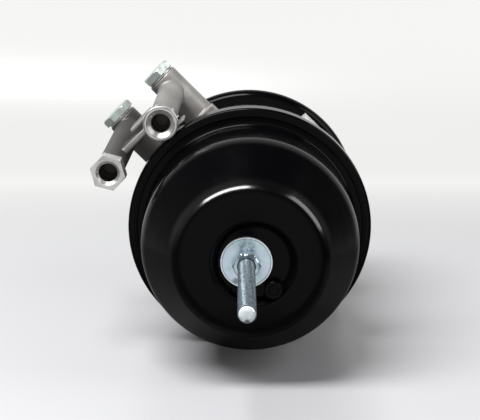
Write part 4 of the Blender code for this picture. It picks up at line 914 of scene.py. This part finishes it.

# %% [markdown]
# ## Push rod and boot
# The rod's round nose presses the brake lever. A rubber boot closes the housing round it: its outer leg is
# fixed to the housing, and its inner leg stretches with the rod. Here the two legs are separate pieces that
# meet at the fold, and the inner leg is not made to follow the rod.

# %% Push rod and boot
ROD_R, ROD_GROOVE_R, ROD_END = 0.010, 0.0088, 0.016
rod_rows = rounded([
    (0, -0.0795, 0), (ROD_R, -0.0795, 0.0004), (ROD_R, 0.002, 0.0003), (ROD_GROOVE_R, 0.002, 0.0003),
    (ROD_GROOVE_R, 0.006, 0.0003), (ROD_R, 0.006, 0.0003), (ROD_R, ROD_END, 0.0085), (0, ROD_END, 0),
], 6.0)
piece("push_rod_turned", steel, [skin(rod_rows, steps=72)], "push_rod", ["push_rod"])
fold_y, fold_r = -0.0130, 0.0195
outer_leg = rounded([(0.0289, -0.0033, 0.0004), (0.0289, -0.0053, 0.0004), (0.0247, -0.0053, 0.001),
                     (fold_r, fold_y, 0.0004), (fold_r, fold_y + 0.0026, 0.0004), (0.0255, -0.0010, 0.001),
                     (0.0267, -0.0003, 0.0003), (0.0267, -0.0033, 0)])
piece("boot_outer_leg", rubber, [skin(outer_leg, steps=96, closed=True)], instead_of=["rod_boot"])
inner_leg = rounded([
    (fold_r, fold_y, 0.0004), (0.0152, -0.0110, 0.001), (0.0142, -0.0060, 0.001), (0.0124, -0.0020, 0.001),
    (0.0120, 0.0023, 0.0004), (0.0091, 0.0023, 0), (0.0091, 0.0057, 0), (0.0135, 0.0057, 0.0008),
    (0.0140, 0.0010, 0.001), (0.0160, -0.0050, 0.001), (0.0170, -0.0088, 0.001),
    (fold_r, fold_y + 0.0026, 0.0004),
])
leg = piece("boot_inner_leg", rubber, [skin(filled(inner_leg, 0.0012), steps=96, closed=True)], body=None,
            instead_of=["rod_boot"])
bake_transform(leg)

# %% [markdown]
# ## Springs
# Three coils work inside. The power spring gets longer when it acts, and the return springs are pressed
# together. Here each is a fixed coil whose end turns are wound closer; none is made to stretch or blend.

# %% Springs
power = coil("power_coil", wire, 0.0063, (0.041, -0.2618), (0.059, -0.2045), 4.38, 16, 56)
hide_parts("power_spring")
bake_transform(power)
transfer = coil("transfer_coil", wire, 0.0017, (0.030, -0.1813), (0.0175, -0.1175), 5.0)
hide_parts("transfer_return_spring")
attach(transfer, "cylinder")
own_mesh(transfer)
service = coil("service_coil", wire, 0.0019, (0.050, -0.0733), (0.0365, -0.0052), 4.5)
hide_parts("service_return_spring")
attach(service, "cylinder")
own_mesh(service)

# %% [markdown]
# ## Diaphragms
# Two rubber cups carry the air pressure. Their rims are clamped and their middles move with a plate. Here
# each is a fixed cup, not blended along the axis.

# %% Diaphragms
spring_cup = rounded([
    (0, -0.1926, 0), (0.0726, -0.1926, 0.004), (0.0766, -0.1806, 0.006), (0.0766, -0.1710, 0.002),
    (0.0913, -0.1710, 0.0004), (0.0913, -0.1680, 0.0004), (0.0736, -0.1680, 0.002), (0.0736, -0.1776, 0.004),
    (0.0696, -0.1896, 0.003), (0, -0.1896, 0),
])
cup_a = piece("spring_side_diaphragm", rubber, [skin(filled(spring_cup, 0.003)[:-1], steps=96)],
              body=None, instead_of=["spring_diaphragm"])
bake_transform(cup_a)
service_cup_rows = rounded([
    (0, -0.0828, 0), (0.059, -0.0828, 0.004), (0.0685, -0.0768, 0.004), (0.0705, -0.0615, 0.002),
    (0.0880, -0.0615, 0.0004), (0.0880, -0.0585, 0.0004), (0.0675, -0.0585, 0.002), (0.0655, -0.0738, 0.002),
    (0.056, -0.0798, 0.002), (0, -0.0798, 0),
])
cup_b = piece("service_side_diaphragm", rubber, [skin(filled(service_cup_rows, 0.003)[:-1], steps=96)],
              body=None, instead_of=["service_diaphragm"])
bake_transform(cup_b)

# %% [markdown]
# ## Finishes on the inner solids
# The plates, the socket, the bush and the seals keep the shape the solid model gives them. Only their
# finish changes: it goes into each object's material slots.

# %% Finishes on the inner solids
kept = {
    steel: ["bolt_socket", "spring_plate", "transfer_plate", "transfer_rod", "push_plate"],
    bronze: ["rod_bush"], rubber: ["rod_seal_front", "rod_seal_rear"],
}
for finish, names in kept.items():
    for name in names:
        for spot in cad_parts[name].material_slots:
            spot.material = finish.material
    print(finish.material.name, "on", names)

# %% [markdown]
# ## Table and backdrop
# The cylinder lies on a narrow photo table, a pale sheet that bends up behind it. Near the cylinder the
# sheet is an ordinary surface and keeps the shadow, but reflections see it darker. Further back it turns
# into plain white light for the camera and for reflections. That keeps the background white without
# lighting the object.

# %% Table and backdrop
table = Finish("pale_table", "none", {"Specular IOR Level": 0.3, "Roughness": 0.32, "Emission Strength": 1.0})
SHEET_TONE, SHEET_MIRRORED, BLACK = (0.44, 0.44, 0.455), (0.13, 0.13, 0.135), (0.0, 0.0, 0.0)
PAPER_NEAR, PAPER_FAR = (0.68, 0.685, 0.67), (1.0, 1.0, 0.985)
backward = table.spot.part(1)
seen, mirrored, through = (table.node("ShaderNodeLightPath", out=f"Is {ray} Ray")
                           for ray in ("Camera", "Glossy", "Transmission"))
seen = seen + mirrored + through
white = backward.step(-0.05, 0.55)
sheet_tone = table.mix(mirrored, SHEET_TONE, SHEET_MIRRORED)
paper = table.mix(backward.step(0.10, 0.90), PAPER_NEAR, PAPER_FAR)
table.drive(Base_Color=table.mix(white, sheet_tone, BLACK),
            Emission_Color=table.mix((white * seen).capped(), BLACK, paper))
FLOOR_Z, BEND_Y, BEND_R = -0.0948, 0.40, 0.2
sweep = [(-0.44, FLOOR_Z), (BEND_Y, FLOOR_Z)]
sweep += [(BEND_Y + BEND_R * math.sin(turn), FLOOR_Z + BEND_R - BEND_R * math.cos(turn))
          for turn in np.linspace(0.1, math.pi / 2, 16)]
sweep.append((0.60, 0.9))
sheet = [(x, y, z) for y, z in sweep for x in (-0.42, 0.40)]
floor_mesh = bpy.data.meshes.new("table")
floor_mesh.from_pydata(sheet, [], [[2 * k, 2 * k + 1, 2 * k + 3, 2 * k + 2] for k in range(len(sweep) - 1)])
floor_mesh.shade_smooth()
floor_mesh.materials.append(table.material)
floor = placed("table", floor_mesh)
print("table at", FLOOR_Z)

# %% [markdown]
# ## Room light
# Gloss black shows its surroundings, so the room matters more than the lamps. It is bright behind the
# cylinder and behind the camera, and dim at the sides and above. The camera itself sees plain white. Lamps
# add a key light from the upper left, a broad light at the right and a weak one from behind.

# %% Room light
world = bpy.data.worlds.new("studio")
bpy.context.scene.world = world
world.use_nodes = True
room = Wire(world.node_tree)
sky = room.node("ShaderNodeTexCoord", out="Generated")
rightward, ahead = sky.part(0), sky.part(1)
level = (0.04 + 0.90 * ahead.step(0.36, 0.64) + 0.85 * (0.0 - ahead).step(0.50, 0.97)
         + 0.20 * (0.0 - rightward).step(0.3, 0.95) + 0.06 * rightward.step(0.3, 0.95))
camera_ray = room.node("ShaderNodeLightPath", out="Is Camera Ray")
background = world.node_tree.nodes["Background"]
world.node_tree.links.new((level * (1 - camera_ray) + camera_ray).socket, background.inputs["Strength"])
background.inputs["Color"].default_value = (1.0, 1.0, 1.0, 1.0)


def lamp(name, direction, distance, size, power, roll=0.0, target=(0, -0.16, 0)):
    """A soft rectangular lamp that faces the cylinder from a direction, rolled about the line to it."""
    light = bpy.data.lights.new(name, "AREA")
    light.shape = "RECTANGLE"
    light.size, light.size_y = size
    light.energy = power
    made = placed(name, light)
    direction = Vector(direction).normalized()
    made.location = Vector(target) + direction * distance
    rolled = direction.to_track_quat("Z", "Y") @ Quaternion((0, 0, 1), math.radians(roll))
    made.rotation_euler = rolled.to_euler()
    print(f"{name}: {power} W")


lamp("key_softbox", (-0.385, -0.24, 0.89), 1.5, (0.50, 1.20), 44.0, -30.0)
lamp("right_strip", (0.86, -0.16, 0.535), 1.5, (0.75, 1.10), 10.0)
lamp("back_softbox", (-0.12, 0.78, 0.60), 1.4, (1.0, 0.40), 4.0)

# %% [markdown]
# ## Camera
# The photograph was taken from slightly above, straight at the spring end, with a long lens. Its place was
# worked out from the circles and straight edges in the picture.

# %% Camera
LENS, SENSOR, TILT_DOWN, TURN_LEFT = 93.84, 36.0, 14.164, 0.078
camera = bpy.data.cameras.new("camera")
camera.lens, camera.sensor_width, camera.sensor_fit = LENS, SENSOR, "HORIZONTAL"
camera.clip_start = 0.05
viewpoint = placed("camera", camera)
viewpoint.location = (-0.00629, -1.11469, 0.25226)
viewpoint.rotation_euler = (math.radians(90 - TILT_DOWN), 0, math.radians(TURN_LEFT))
bpy.context.scene.camera = viewpoint
bpy.context.scene.view_settings.view_transform = "Standard"
print("camera at", tuple(round(part, 4) for part in viewpoint.location))

# %% [markdown]
# ## End
# The dressed model is meant to fill the same box as the solids. The last cell only prints that the
# script has run.

# %% End
print("dressing done")
